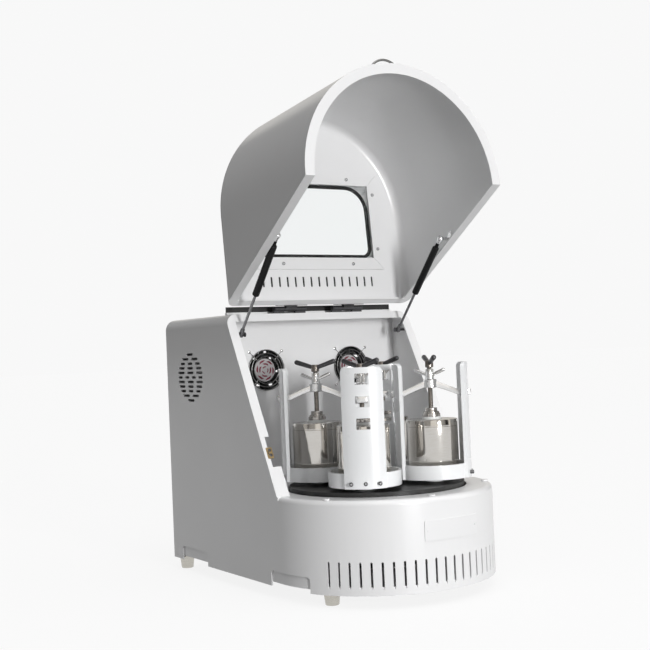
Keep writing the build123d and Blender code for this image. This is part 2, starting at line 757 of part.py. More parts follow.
# ------------------------------------------------------------------ gas struts
swing = radians(lid_opening)
arm_y = strut_high[0] - hinge_y
arm_z = strut_high[1] - hinge_z
open_high = (
    hinge_y + arm_y * cos(swing) + arm_z * sin(swing), hinge_z - arm_y * sin(swing) + arm_z * cos(swing)
)
strut_length = hypot(open_high[0] - strut_low[0], open_high[1] - strut_low[1])
strut_direction = (0, open_high[0] - strut_low[0], open_high[1] - strut_low[1])
cylinder_end = strut_cylinder_start + strut_cylinder_length


def stud(side, place, reach):
    """Pivot stud on a side wall, reaching inwards to a distance from the middle; its base included."""
    wall = Location((side * inner_half_width, place[0], place[1]), (0, -90 * side, 0))
    start = (Align.CENTER, Align.CENTER, Align.MIN)
    pin = wall * Cylinder(stud_radius, inner_half_width - reach, align=start, mode=Mode.PRIVATE)
    return pin + wall * Cylinder(stud_base_radius, stud_base_height, align=start, mode=Mode.PRIVATE)


eye_inner = strut_x - eye_half_width - free_clear
with BuildPart() as strut_lower_studs:
    for side in (-1, 1):
        add(stud(side, strut_low, eye_inner))
        head_plane = Plane(origin=(side * eye_inner, *strut_low), z_dir=(-side, 0, 0))
        with BuildSketch(head_plane):
            Circle(stud_head_radius)
        extrude(amount=stud_head)
save(strut_lower_studs, "strut_lower_studs")

with BuildPart() as strut_upper_studs:
    for side in (-1, 1):
        add(stud(side, strut_high, strut_x + eye_half_width + free_clear))
save(strut_upper_studs, "strut_upper_studs", swing_open)

for side, side_name in ((-1, "left"), (1, "right")):
    strut_base = Plane(origin=(side * strut_x, *strut_low), x_dir=(1, 0, 0), z_dir=strut_direction)
    rod_end = strut_cylinder_start + strut_rod_overlap
    with BuildPart() as strut_rod:
        with BuildSketch(strut_base):
            Circle(strut_rod_radius)
        extrude(amount=rod_end)
        with BuildSketch(strut_base.offset(rod_end - piston_length)):
            Circle(strut_cylinder_radius - strut_wall - run_clear)
        extrude(amount=piston_length)
        with Locations(Location(strut_base) * Location((0, 0, 0), (0, 90, 0))):
            Cylinder(eye_radius, 2 * eye_half_width)
            Cylinder(stud_radius + run_clear, 2 * eye_half_width, mode=Mode.SUBTRACT)
    save(strut_rod, f"strut_rod_{side_name}")

    with BuildPart() as strut_cylinder:
        with BuildSketch(strut_base.offset(strut_cylinder_start)):
            Circle(strut_cylinder_radius)
        extrude(amount=strut_cylinder_length)
        with BuildSketch(strut_base.offset(strut_cylinder_start + strut_gland)):
            Circle(strut_cylinder_radius - strut_wall)
        extrude(amount=strut_cylinder_length - 2 * strut_gland, mode=Mode.SUBTRACT)
        with BuildSketch(strut_base.offset(strut_cylinder_start)):
            Circle(strut_rod_radius + run_clear)
        extrude(amount=strut_gland, mode=Mode.SUBTRACT)
        with BuildSketch(strut_base.offset(cylinder_end)):
            Circle(strut_neck_radius)
        extrude(amount=strut_length - cylinder_end)
        with Locations(Location(strut_base.offset(strut_length)) * Location((0, 0, 0), (0, 90, 0))):
            Cylinder(eye_radius, 2 * eye_half_width)
    save(strut_cylinder, f"strut_cylinder_{side_name}")

# ------------------------------------------------------------------ drive
def belt_loop(centre, near_radius, far_radius):
    """Flat loop round one pulley at the origin and one at a centre, by their pitch radii."""
    with BuildSketch(mode=Mode.PRIVATE) as loop:
        for grow, mode in ((belt_thickness / 2, Mode.ADD), (-belt_thickness / 2, Mode.SUBTRACT)):
            near_edge = Edge.make_circle(near_radius + grow)
            far_edge = Edge.make_circle(far_radius + grow).moved(Location((*centre, 0)))
            make_hull([near_edge, far_edge], mode=mode)
    return loop.sketch


def pulley_profile(pitch_radius, bore, middles):
    """Half section of a flanged pulley with one belt seat at each middle height."""
    seat = pitch_radius - belt_thickness / 2 - belt_clear
    flange = pitch_radius + belt_thickness / 2 + pulley_cheek
    half = belt_width / 2 + belt_clear
    low = middles[0] - half - pulley_cheek
    high = middles[-1] + half + pulley_cheek
    corners = [(bore, low), (flange, low)]
    for middle in middles:
        corners += [(flange, middle - half), (seat, middle - half), (seat, middle + half), (flange, middle + half)]
    corners += [(flange, high), (bore, high)]
    return corners


sun_middles = [first_belt_z + belt_pitch * level for level in range(len(station_names))]
with BuildPart() as bearing_housing:
    with BuildSketch(Plane.XZ):
        with BuildLine():
            bore = main_shaft_radius + run_clear
            relief = main_shaft_radius + bearing_relief
            Polyline(
                (bore, drive_plate_z), (neck_radius, drive_plate_z), (neck_radius, drive_plate_top),
                (housing_flange[0], drive_plate_top), (housing_flange[0], drive_plate_top + housing_flange[1]),
                (neck_radius, drive_plate_top + housing_flange[1]), (neck_radius, neck_top), (bore, neck_top),
                (bore, neck_top - bearing_length), (relief, neck_top - bearing_length),
                (relief, drive_plate_z + bearing_length), (bore, drive_plate_z + bearing_length), close=True,
            )
        make_face()
    revolve(axis=Axis.Z)
    with BuildSketch(Plane.XZ):
        with BuildLine():
            Polyline(*pulley_profile(sun_pitch_radius, neck_radius, sun_middles), close=True)
        make_face()
    revolve(axis=Axis.Z)
save(bearing_housing, "bearing_housing")

with BuildPart() as main_shaft:
    with BuildSketch(Plane.XZ):
        with BuildLine():
            Polyline(
                (0, main_shaft_bottom), (main_shaft_radius, main_shaft_bottom),
                (main_shaft_radius, disc_bottom - main_flange[1]), (main_flange[0], disc_bottom - main_flange[1]),
                (main_flange[0], disc_bottom), (0, disc_bottom), close=True,
            )
        make_face()
    revolve(axis=Axis.Z)
    with BuildSketch(Plane.XZ):
        with BuildLine():
            Polyline(*pulley_profile(driven_pitch_radius, 0, [drive_belt_z]), close=True)
        make_face()
    revolve(axis=Axis.Z)
save(main_shaft, "main_shaft")

with BuildPart() as motor:
    with BuildSketch(Plane.XY.offset(drive_plate_top)):
        with Locations((0, motor_y)):
            Circle(motor_radius)
    extrude(amount=motor_top - drive_plate_top)
    with Locations((0, motor_y, (drive_plate_top + motor_top) / 2)):
        with PolarLocations(motor_radius, motor_fin_count):
            Box(*motor_fin_size, (motor_top - drive_plate_top) * motor_fin_share)
    with Locations((motor_radius, motor_y, (drive_plate_top + motor_top) / 2)):
        Box(*motor_terminal_box)
    with BuildSketch(Plane.XY.offset(drive_plate_top)):
        with Locations((0, motor_y)):
            Circle(motor_shaft_radius + run_clear)
    extrude(amount=motor_shaft_grip + free_clear, mode=Mode.SUBTRACT)
save(motor, "motor")

with BuildPart() as motor_pulley:
    with BuildSketch(Plane.XZ):
        with BuildLine():
            Polyline(*pulley_profile(motor_pitch_radius, 0, [drive_belt_z]), close=True)
        make_face()
    revolve(axis=Axis.Z)
    with BuildSketch(Plane.XY.offset(drive_belt_z)):
        Circle(motor_shaft_radius)
    extrude(amount=drive_plate_top + motor_shaft_grip - drive_belt_z)
motor_pulley.part = Location((0, motor_y, 0)) * motor_pulley.part
save(motor_pulley, "motor_pulley")

with BuildPart() as drive_belt:
    with BuildSketch(Plane.XY.offset(drive_belt_z)):
        add(belt_loop((0, motor_y), driven_pitch_radius, motor_pitch_radius))
    extrude(amount=belt_width / 2, both=True)
save(drive_belt, "drive_belt")

stations = []
for order, station in enumerate(station_names):
    around = station_start + 90 * order
    centre = (station_circle * cos(radians(around)), station_circle * sin(radians(around)))
    stations.append((station, centre, around + station_turn, sun_middles[order]))

with BuildPart() as planet_belts:
    for station, centre, bar_angle, middle in stations:
        with BuildSketch(Plane.XY.offset(middle)):
            add(belt_loop(centre, sun_pitch_radius, planet_pitch_radius))
        extrude(amount=belt_width / 2, both=True)
save(planet_belts, "planet_belts")

with BuildPart() as turntable:
    with BuildSketch(Plane.XY.offset(disc_bottom)):
        Circle(disc_radius)
    extrude(amount=disc_thickness)
    with BuildSketch(Plane.XY.offset(disc_bottom)):
        with PolarLocations(station_circle, len(station_names), start_angle=station_start):
            Circle(planet_housing_radius)
    extrude(amount=-planet_housing_height)
    with BuildSketch(Plane.XY.offset(disc_top)):
        with PolarLocations(station_circle, len(station_names), start_angle=station_start):
            Circle(planet_shaft_radius + run_clear)
    extrude(amount=-disc_thickness - planet_housing_height, mode=Mode.SUBTRACT)
save(turntable, "turntable")

# ------------------------------------------------------------------ stations
def grip_bar(reach, radius, hub, low, rise, clear):
    """Two rods rising outwards in a V from a hub about the Z axis, bored for the spindle."""
    shape = Location((0, 0, hub[0])) * Cylinder(
        hub[2], hub[1] - hub[0], align=(Align.CENTER, Align.CENTER, Align.MIN), mode=Mode.PRIVATE
    )
    lean = degrees(atan2(rise, reach))
    for turn in (0, 180):
        rod = Cylinder(
            radius, hypot(reach - radius, rise), align=(Align.CENTER, Align.CENTER, Align.MIN), mode=Mode.PRIVATE
        )
        shape += Location((0, 0, low), (0, 0, turn)) * Location((0, 0, 0), (0, 90 - lean, 0)) * rod
    if clear:
        shape -= Location((0, 0, low)) * Cylinder(clear, far, mode=Mode.PRIVATE)
    return shape


upright_outer = cup_radius + upright_thickness
bar_end_top = window_centres[1] + window_size[1] / 2
for order, (station, (station_x, station_y), bar_angle, middle) in enumerate(stations):
    turn = radians(bar_angle)
    foot = Plane(origin=(station_x, station_y, 0), x_dir=(cos(turn), sin(turn), 0), z_dir=(0, 0, 1))

    face_plane = Plane(origin=(station_x, station_y, 0), x_dir=foot.y_dir, z_dir=foot.x_dir)

    with BuildPart() as holder:
        with BuildSketch(foot.offset(cup_floor_z)):
            Circle(upright_outer)
            Circle(cup_radius - upright_bite, mode=Mode.SUBTRACT)
        extrude(amount=upright_top - cup_floor_z)
        with BuildSketch(face_plane) as upright_face:
            with Locations((0, (upright_top + cup_floor_z) / 2)):
                Rectangle(upright_width, upright_top - cup_floor_z)
            fillet(upright_face.vertices().group_by(Axis.Y)[-1], upright_corner)
            for height in window_centres:
                with Locations((0, height)):
                    Rectangle(*window_size, mode=Mode.SUBTRACT)
        extrude(amount=far, both=True, mode=Mode.INTERSECT)
        with BuildSketch(foot.offset(cup_floor_z)):
            Circle(cup_radius)
        extrude(amount=cup_rim_z - cup_floor_z)
        with BuildSketch(foot.offset(cup_floor_z + cup_floor)):
            Circle(cup_radius - cup_wall)
        extrude(amount=upright_top, mode=Mode.SUBTRACT)
        with BuildSketch(foot.offset(cup_floor_z + cup_floor)):
            Circle(jar_radius + free_clear + seat_wall)
            Circle(jar_radius + free_clear, mode=Mode.SUBTRACT)
        extrude(amount=seat_height)
        for side in (-1, 1):
            with BuildSketch(face_plane.offset(side * (cup_radius - cup_wall / 2))):
                with Locations((0, cup_floor_z + foot_screw_rise)):
                    with GridLocations(foot_screw_pitch, 1, 3, 1):
                        Circle(screw_head_radius)
            extrude(amount=side * (upright_thickness + cup_wall / 2 + foot_screw_head))
        with BuildSketch(foot.offset(cup_floor_z)):
            Circle(collar_radius)
        extrude(amount=disc_top + free_clear - cup_floor_z)
        with BuildSketch(foot.offset(cup_floor_z)):
            Circle(planet_shaft_radius)
        extrude(amount=middle - cup_floor_z)
        with BuildSketch(Plane(origin=foot.origin, x_dir=foot.x_dir, z_dir=-foot.y_dir)):
            with BuildLine():
                Polyline(*pulley_profile(planet_pitch_radius, 0, [middle]), close=True)
            make_face()
        revolve(axis=Axis(foot.origin, (0, 0, 1)))
    save(holder, f"holder_{station}")

    with BuildPart() as jar:
        with BuildSketch(foot.offset(cup_floor_z + cup_floor)):
            Circle(jar_radius)
        extrude(amount=jar_top - jar_lid_height - cup_floor_z - cup_floor)
        with BuildSketch(foot.offset(cup_floor_z + cup_floor + jar_wall)):
            Circle(jar_radius - jar_wall)
        extrude(amount=jar_top, mode=Mode.SUBTRACT)
    save(jar, f"jar_{station}")

    with BuildPart() as jar_lid:
        with BuildSketch(foot.offset(jar_top - jar_lid_height)):
            Circle(jar_radius)
        extrude(amount=jar_lid_height)
        with BuildSketch(foot.offset(jar_top - jar_lid_height)):
            Circle(jar_radius - jar_wall)
        extrude(amount=-jar_lid_height / 2)
        with BuildSketch(foot.offset(jar_top)):
            Circle(press_pad_radius)
        extrude(amount=press_pad_height)
    save(jar_lid, f"jar_lid_{station}")

    with BuildPart() as crossbar:
        bar_side = Plane(origin=(station_x, station_y, 0), x_dir=foot.x_dir, z_dir=-foot.y_dir)
        with BuildSketch(bar_side):
            with BuildLine():
                end_low = bar_end_top - bar_end_height
                knee = bar_reach * bar_knee
                right = [(bar_hub_radius, bar_hub_z[0]), (knee, end_low), (bar_reach, end_low)]
                right += [(bar_reach, bar_end_top), (knee, bar_end_top), (bar_hub_radius, bar_hub_z[1] - bar_hub_edge)]
                Polyline(*right, *[(-x, z) for x, z in reversed(right)], close=True)
            make_face()
        extrude(amount=bar_width / 2, both=True)
        with BuildSketch(bar_side):
            for side in (-1, 1):
                with Locations((side * (bar_reach - bar_end_length / 2), bar_end_top - bar_end_height / 2)):
                    Rectangle(bar_end_length, bar_end_height)
        extrude(amount=bar_end_width / 2, both=True)
        with BuildSketch(foot.offset(bar_hub_z[0])):
            Circle(bar_hub_radius)
        extrude(amount=bar_hub_z[1] - bar_hub_z[0])
        with BuildSketch(foot.offset(press_foot_z[0])):
            Circle(press_foot_radius)
        extrude(amount=press_foot_z[1] - press_foot_z[0])
        with BuildSketch(foot.offset(press_foot_z[1])):
            Circle(press_neck_radius)
        extrude(amount=press_foot_z[2] - press_foot_z[1])
        with BuildSketch(foot.offset((press_foot_z[0] + press_foot_z[1]) / 2)):
            Circle(spindle_radius + run_clear)
        extrude(amount=far, mode=Mode.SUBTRACT)
    save(crossbar, f"crossbar_{station}")

    with BuildPart() as clamp_screw:
        add(grip_bar(tee_reach, tee_arm_radius, (*tee_z, tee_radius), sum(tee_z) / 2, tee_rise, 0))
        spindle_bottom = (press_foot_z[0] + press_foot_z[1]) / 2 + free_clear
        with BuildSketch(Plane.XY.offset(spindle_bottom)):
            Circle(spindle_radius)
        extrude(amount=tee_z[0] - spindle_bottom)
    clamp_screw.part = Location((station_x, station_y, 0), (0, 0, tee_angles[order])) * clamp_screw.part
    save(clamp_screw, f"clamp_screw_{station}")

    with BuildPart() as lock_nut:
        nut_low = nut_z[0] + nut_wing_radius + nut_wing_lift
        bore = spindle_radius + run_clear
        add(grip_bar(nut_wing_reach, nut_wing_radius, (*nut_z, nut_radius), nut_low, nut_wing_rise, bore))
    lock_nut.part = Location((station_x, station_y, 0), (0, 0, wing_angles[order])) * lock_nut.part
    save(lock_nut, f"lock_nut_{station}")

# ------------------------------------------------------------------ electrical pieces at the rear
rocker_y = rear_reach - rocker_depth
rocker_z = inlet_z + rocker_rise
with BuildPart() as power_supply:
    with Locations((inverter_place[0], rear_y - sheet, inverter_place[1])):
        Box(*inverter_size, align=(Align.CENTER, Align.MAX, Align.CENTER))
    with Locations((inlet_x, rear_y, inlet_z)):
        Box(inlet_size[0], inlet_depth, inlet_size[1], align=(Align.CENTER, Align.MAX, Align.CENTER))
        Box(
            inlet_size[0] + 2 * inlet_flange_rim, inlet_flange, inlet_size[1] + 2 * inlet_flange_rim,
            align=(Align.CENTER, Align.MIN, Align.CENTER),
        )
    with Locations((inlet_x, rear_reach, inlet_z - rocker_rise)):
        Box(*socket_size, align=(Align.CENTER, Align.MAX, Align.CENTER), mode=Mode.SUBTRACT)
        for pin_x in socket_pin_places:
            with Locations((pin_x, -socket_size[1], 0)):
                Box(*socket_pin_size, align=(Align.CENTER, Align.MIN, Align.CENTER))
    with Locations(Location((inlet_x, rocker_y, rocker_z), (0, 90, 0))):
        Cylinder(rocker_radius + free_clear, rocker_length + 2 * free_clear, mode=Mode.SUBTRACT)
    with Locations((inlet_x, rear_reach, rocker_z)):
        Box(
            rocker_length + 2 * free_clear, rocker_depth, 2 * (rocker_radius + free_clear),
            align=(Align.CENTER, Align.MAX, Align.CENTER), mode=Mode.SUBTRACT,
        )
save(power_supply, "power_supply")

with BuildPart() as power_rocker:
    with BuildSketch(Plane.YZ):
        Circle(rocker_radius)
        with BuildLine():
            edge_y = rocker_crown - 2 * rocker_radius * tan(radians(rocker_tilt))
            back, top = -2 * rocker_radius, 2 * rocker_radius
            Polyline((rocker_crown, 0), (edge_y, top), (back, top), (back, -top), (edge_y, -top), close=True)
        make_face(mode=Mode.INTERSECT)
    extrude(amount=rocker_length / 2, both=True)
power_rocker.part = Location((inlet_x, rocker_y, rocker_z), (-rocker_tilt, 0, 0)) * power_rocker.part
save(power_rocker, "power_rocker")
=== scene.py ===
import json
from math import cos, radians, sin

import bmesh
import bpy
import numpy as np
from mathutils import Matrix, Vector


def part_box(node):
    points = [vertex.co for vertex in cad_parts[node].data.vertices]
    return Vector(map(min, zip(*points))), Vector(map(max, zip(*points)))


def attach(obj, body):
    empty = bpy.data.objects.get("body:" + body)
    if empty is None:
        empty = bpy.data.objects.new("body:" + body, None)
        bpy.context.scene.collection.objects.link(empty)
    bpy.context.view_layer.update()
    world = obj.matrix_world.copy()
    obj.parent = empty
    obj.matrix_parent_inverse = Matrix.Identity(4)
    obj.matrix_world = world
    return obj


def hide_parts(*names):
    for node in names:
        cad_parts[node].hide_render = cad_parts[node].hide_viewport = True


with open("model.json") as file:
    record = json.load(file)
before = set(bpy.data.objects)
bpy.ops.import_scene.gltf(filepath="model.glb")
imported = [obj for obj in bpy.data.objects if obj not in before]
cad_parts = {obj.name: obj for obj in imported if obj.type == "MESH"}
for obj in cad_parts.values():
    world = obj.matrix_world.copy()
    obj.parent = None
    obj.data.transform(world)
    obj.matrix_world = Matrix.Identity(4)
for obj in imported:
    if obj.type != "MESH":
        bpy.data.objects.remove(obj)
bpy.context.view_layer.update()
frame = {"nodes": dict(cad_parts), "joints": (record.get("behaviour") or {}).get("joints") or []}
MM = 0.001
TAU = 2 * np.pi
STATIONS = ("front", "right", "rear", "left")
SIDES = ((-1, "left"), (1, "right"))


# ---------------------------------------------------------------- places, read from the frame
def middle(name):
    """Centre of a CAD node's box."""
    low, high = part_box(name)
    return (np.array(low) + np.array(high)) / 2


def joint_place(name):
    """Position of a joint of the record."""
    return next(np.array(joint["pos_m"]) for joint in frame["joints"] if joint["name"] == name)


AXIS_Y = joint_place("disc_spin")[1]              # the turntable's axis, where y in millimetres starts below
LID_OPEN, HINGE_Y, HINGE_Z = 96.0, 198.0, 585.0   # the lid's opening in degrees, and its hinges' axis


def part_place(x, y, z):
    """Millimetres from the turntable's axis and the floor, as a place in the frame."""
    return np.stack(np.broadcast_arrays(x * MM, y * MM + AXIS_Y, z * MM), axis=-1)


def opened(x, y, z):
    """Place on the closed lid, in millimetres from the turntable's axis, taken to the open position."""
    swing = radians(LID_OPEN)
    dy, dz = y - HINGE_Y, z - HINGE_Z
    new_y = HINGE_Y + dy * cos(swing) + dz * sin(swing)
    new_z = HINGE_Z - dy * sin(swing) + dz * cos(swing)
    return part_place(x, new_y, new_z)


# ---------------------------------------------------------------- surfaces
SHARP_ANGLE = 35   # degrees; edges sharper than this show as edges


def turned(points, sides=72):
    """Profile of radius and height turned about Z: (r cos u, r sin u, h) for u from 0 to a full turn."""
    r, h = np.asarray(points, float).T
    u = np.arange(sides) * TAU / sides
    return np.stack(np.broadcast_arrays(r[:, None] * np.cos(u), r[:, None] * np.sin(u), h[:, None]), axis=-1)


def carried(path, radius, sides=20):
    """Circle carried along a path: p + radius (cos u a + sin u b), with a and b square to the path."""
    path = np.asarray(path, float)
    along = np.gradient(path, axis=0)
    along /= np.linalg.norm(along, axis=1)[:, None]
    spread = path.max(axis=0) - path.min(axis=0)
    flat = np.eye(3)[np.argmin(spread)]
    a = np.cross(along, flat)
    a /= np.linalg.norm(a, axis=1)[:, None]
    b = np.cross(along, a)
    u = np.arange(sides) * TAU / sides
    circle = a[:, None] * np.cos(u)[None, :, None] + b[:, None] * np.sin(u)[None, :, None]
    return path[:, None] + radius * circle


def moved(surface, matrix):
    """Grid of points taken through a 4 x 4 matrix."""
    m = np.array(matrix)
    return surface @ m[:3, :3].T + m[:3, 3]


def aimed(origin, direction):
    """Matrix that takes Z to a direction and the origin to a place."""
    z = np.array(direction, float)
    z /= np.linalg.norm(z)
    x = np.cross([0, 1, 0] if abs(z[1]) < 0.9 else [1, 0, 0], z)
    x /= np.linalg.norm(x)
    m = np.eye(4)
    m[:3, 0], m[:3, 1], m[:3, 2], m[:3, 3] = x, np.cross(z, x), z, origin
    return m


def put(name, data):
    """New object in the scene."""
    made = bpy.data.objects.new(name, data)
    bpy.context.scene.collection.objects.link(made)
    return made


def make(name, surfaces, material, body, replaces=(), close_path=False):
    """Mesh piece from grids of points (rows along, columns round), joined into one object."""
    points, faces, start = [], [], 0
    for grid in surfaces:
        rows, columns = grid.shape[:2]
        row = np.arange(rows if close_path else rows - 1)[:, None]
        column = np.arange(columns)[None, :]
        here, up = row * columns, (row + 1) % rows * columns
        side = (column + 1) % columns
        quads = np.stack([here + column, here + side, up + side, up + column], axis=-1).reshape(-1, 4)
        points.append(grid.reshape(-1, 3))
        faces.append(quads + start)
        start += rows * columns
    points, faces = np.concatenate(points), np.concatenate(faces)
    mesh = bpy.data.meshes.new(name)
    mesh.from_pydata(points.tolist(), [], faces.tolist())
    bm = bmesh.new()
    bm.from_mesh(mesh)
    bmesh.ops.remove_doubles(bm, verts=bm.verts, dist=1e-7)
    bmesh.ops.recalc_face_normals(bm, faces=bm.faces)
    bm.to_mesh(mesh)
    bm.free()
    mesh.polygons.foreach_set("use_smooth", np.ones(len(mesh.polygons), bool))
    mesh.set_sharp_from_angle(angle=radians(SHARP_ANGLE))
    mesh.materials.append(material)
    piece = put(name, mesh)
    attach(piece, body)
    if replaces:
        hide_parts(*replaces)


# ---------------------------------------------------------------- materials
FINISH_OUT = (("Colour", "c"), ("Roughness", "f"), ("Height", "f"))
DUST_FILM, DUST_GRAIN = (0.62, 0.61, 0.58, 1.0), (0.5, 0.48, 0.45, 1.0)
# Rings of the printed disc: inner and outer radius in metres, waves in a turn, and turn of the wave per metre
INK_RINGS = ((0.0055, 0.0085, 3.0, 300.0), (0.0115, 0.0155, 4.0, -300.0), (0.018, 0.0225, 6.0, 420.0))
INK_EDGE = 0.0006


def new_group(name, inputs, outputs):
    """Empty shader node group with named float, colour and vector sockets."""
    kinds = {"f": "NodeSocketFloat", "c": "NodeSocketColor", "v": "NodeSocketVector"}
    tree = bpy.data.node_groups.new(name, "ShaderNodeTree")
    for way, sockets in (("INPUT", inputs), ("OUTPUT", outputs)):
        for label, kind in sockets:
            tree.interface.new_socket(label, in_out=way, socket_type=kinds[kind])
    return tree, tree.nodes.new("NodeGroupInput"), tree.nodes.new("NodeGroupOutput")


def new_material(name):
    """Material with nodes; returned with its tree and its Principled shader."""
    made = bpy.data.materials.new(name)
    made.use_nodes = True
    return made, made.node_tree, made.node_tree.nodes["Principled BSDF"]


def fill(made, values):
    """Sets a node's inputs by their labels."""
    for label, value in values.items():
        made.inputs[label].default_value = value


def node(tree, kind, **values):
    """Node of a kind with some of its properties and input values set."""
    made = tree.nodes.new(kind)
    for key, value in values.items():
        if hasattr(made, key):
            setattr(made, key, value)
        else:
            made.inputs[key.replace("_", " ")].default_value = value
    return made


def math_node(tree, operation, first, second=0.0, clamp=False):
    """Math node between two sockets or numbers; returns its output."""
    made = tree.nodes.new("ShaderNodeMath")
    made.operation = operation
    made.use_clamp = clamp
    for socket, value in zip(made.inputs, (first, second)):
        if isinstance(value, (int, float)):
            socket.default_value = value
        else:
            tree.links.new(value, socket)
    return made.outputs[0]


def product(tree, first, second, clamp=False):
    """Product of two sockets or numbers."""
    return math_node(tree, "MULTIPLY", first, second, clamp)


def raised(tree, base, mask, amount):
    """Base plus a share of a mask, held between 0 and 1."""
    return math_node(tree, "ADD", base, product(tree, mask, amount), True)


def ramp(tree, value, low, high):
    """Value stretched from low..high to 0..1 and held there."""
    made = node(tree, "ShaderNodeMapRange", From_Min=low, From_Max=high)
    tree.links.new(value, made.inputs["Value"])
    return made.outputs["Result"]


def blend_colour(tree, mask, first, second):
    """Two colours blended by a mask; each is a socket or four numbers."""
    made = node(tree, "ShaderNodeMix", data_type="RGBA")
    tree.links.new(mask, made.inputs["Factor"])
    colours = [s for s in made.inputs if s.type == "RGBA"]
    for socket, value in zip(colours, (first, second)):
        if isinstance(value, tuple):
            socket.default_value = value
        else:
            tree.links.new(value, socket)
    return [s for s in made.outputs if s.type == "RGBA"][0]


def coat_group():
    """Sprayed coat: fine orange peel, a broad change of tone, a little dust settled in patches."""
    tree, gi, go = new_group(
        "sprayed_coat",
        (("Vector", "v"), ("Colour", "c"), ("Dust", "f"), ("Roughness", "f"), ("Peel", "f")),
        FINISH_OUT,
    )
    peel = node(tree, "ShaderNodeTexNoise", Scale=420.0, Detail=2.0, Roughness=0.5)
    broad = node(tree, "ShaderNodeTexNoise", Scale=5.0, Detail=4.0, Roughness=0.55)
    specks = node(tree, "ShaderNodeTexNoise", Scale=95.0, Detail=5.0, Roughness=0.7)
    for texture in (peel, broad, specks):
        tree.links.new(gi.outputs["Vector"], texture.inputs["Vector"])
    patches = ramp(tree, broad.outputs["Fac"], 0.35, 0.75)
    grains = ramp(tree, specks.outputs["Fac"], 0.5, 0.85)
    dust = product(tree, product(tree, patches, grains), gi.outputs["Dust"], True)
    tone = product(tree, patches, gi.outputs["Dust"], True)
    shaded = blend_colour(tree, tone, gi.outputs["Colour"], DUST_FILM)
    tree.links.new(blend_colour(tree, dust, shaded, DUST_GRAIN), go.inputs["Colour"])
    rough = raised(tree, gi.outputs["Roughness"], patches, 0.08)
    tree.links.new(raised(tree, rough, dust, 0.3), go.inputs["Roughness"])
    tree.links.new(product(tree, peel.outputs["Fac"], gi.outputs["Peel"]), go.inputs["Height"])
    return tree


def worked_group():
    """Worked metal: fine lines along one stretched direction, and soft finger marks."""
    tree, gi, go = new_group(
        "worked_metal",
        (("Vector", "v"), ("Colour", "c"), ("Darker", "c"), ("Roughness", "f"), ("Lines", "f")),
        FINISH_OUT,
    )
    lines = node(tree, "ShaderNodeTexNoise", Scale=1.0, Detail=6.0, Roughness=0.65)
    marks = node(tree, "ShaderNodeTexNoise", Scale=0.06, Detail=3.0, Roughness=0.5)
    for texture in (lines, marks):
        tree.links.new(gi.outputs["Vector"], texture.inputs["Vector"])
    streak = ramp(tree, lines.outputs["Fac"], 0.3, 0.7)
    smudge = ramp(tree, marks.outputs["Fac"], 0.4, 0.7)
    tone = product(tree, streak, gi.outputs["Lines"], True)
    tree.links.new(blend_colour(tree, tone, gi.outputs["Colour"], gi.outputs["Darker"]), go.inputs["Colour"])
    rough = raised(tree, gi.outputs["Roughness"], smudge, 0.06)
    tree.links.new(raised(tree, rough, streak, 0.05), go.inputs["Roughness"])
    tree.links.new(product(tree, streak, gi.outputs["Lines"]), go.inputs["Height"])
    return tree


def moulded_group():
    """Moulded plastic or rubber: fine pitted grain and pale rubbed patches."""
    tree, gi, go = new_group(
        "moulded",
        (("Vector", "v"), ("Colour", "c"), ("Rubbed", "c"), ("Roughness", "f"), ("Grain", "f")),
        FINISH_OUT,
    )
    pits = node(tree, "ShaderNodeTexVoronoi", Scale=700.0)
    wear = node(tree, "ShaderNodeTexNoise", Scale=28.0, Detail=5.0, Roughness=0.65)
    for texture in (pits, wear):
        tree.links.new(gi.outputs["Vector"], texture.inputs["Vector"])
    rubbed = ramp(tree, wear.outputs["Fac"], 0.45, 0.8)
    worn = blend_colour(tree, rubbed, gi.outputs["Colour"], gi.outputs["Rubbed"])
    tree.links.new(worn, go.inputs["Colour"])
    tree.links.new(raised(tree, gi.outputs["Roughness"], rubbed, -0.12), go.inputs["Roughness"])
    tree.links.new(product(tree, pits.outputs["Distance"], gi.outputs["Grain"]), go.inputs["Height"])
    return tree


def printed_group():
    """Printed disc about Y: broken rings of ink, from the distance to the middle and a wave of the angle."""
    inputs = (("Vector", "v"), ("Colour", "c"), ("Ink", "c"))
    tree, gi, go = new_group("printed_disc", inputs, (("Colour", "c"),))
    apart = tree.nodes.new("ShaderNodeSeparateXYZ")
    tree.links.new(gi.outputs["Vector"], apart.inputs[0])
    x, z = apart.outputs["X"], apart.outputs["Z"]
    square = math_node(tree, "ADD", product(tree, x, x), product(tree, z, z))
    radius = math_node(tree, "POWER", square, 0.5)
    angle = math_node(tree, "ARCTAN2", z, x)
    mask = 0.0
    for low, high, waves, sweep in INK_RINGS:
        inside = ramp(tree, radius, low, low + INK_EDGE)
        inside = product(tree, inside, ramp(tree, radius, high, high - INK_EDGE))
        phase = math_node(tree, "ADD", product(tree, angle, waves), product(tree, radius, sweep))
        broken = ramp(tree, math_node(tree, "SINE", phase), -0.5, -0.1)
        mask = math_node(tree, "MAXIMUM", mask, product(tree, inside, broken))
    tree.links.new(blend_colour(tree, mask, gi.outputs["Colour"], gi.outputs["Ink"]), go.inputs["Colour"])
    return tree


COAT, WORKED, MOULDED, PRINTED = coat_group(), worked_group(), moulded_group(), printed_group()


def effect_node(tree, group, mapped, inputs):
    """Effect group fed by the object's own coordinates through a mapping."""
    mapping = node(tree, "ShaderNodeMapping", **mapped)
    effect = tree.nodes.new("ShaderNodeGroup")
    effect.node_tree = group
    fill(effect, inputs)
    tree.links.new(tree.nodes.new("ShaderNodeTexCoord").outputs["Object"], mapping.inputs["Vector"])
    tree.links.new(mapping.outputs["Vector"], effect.inputs["Vector"])
    return effect


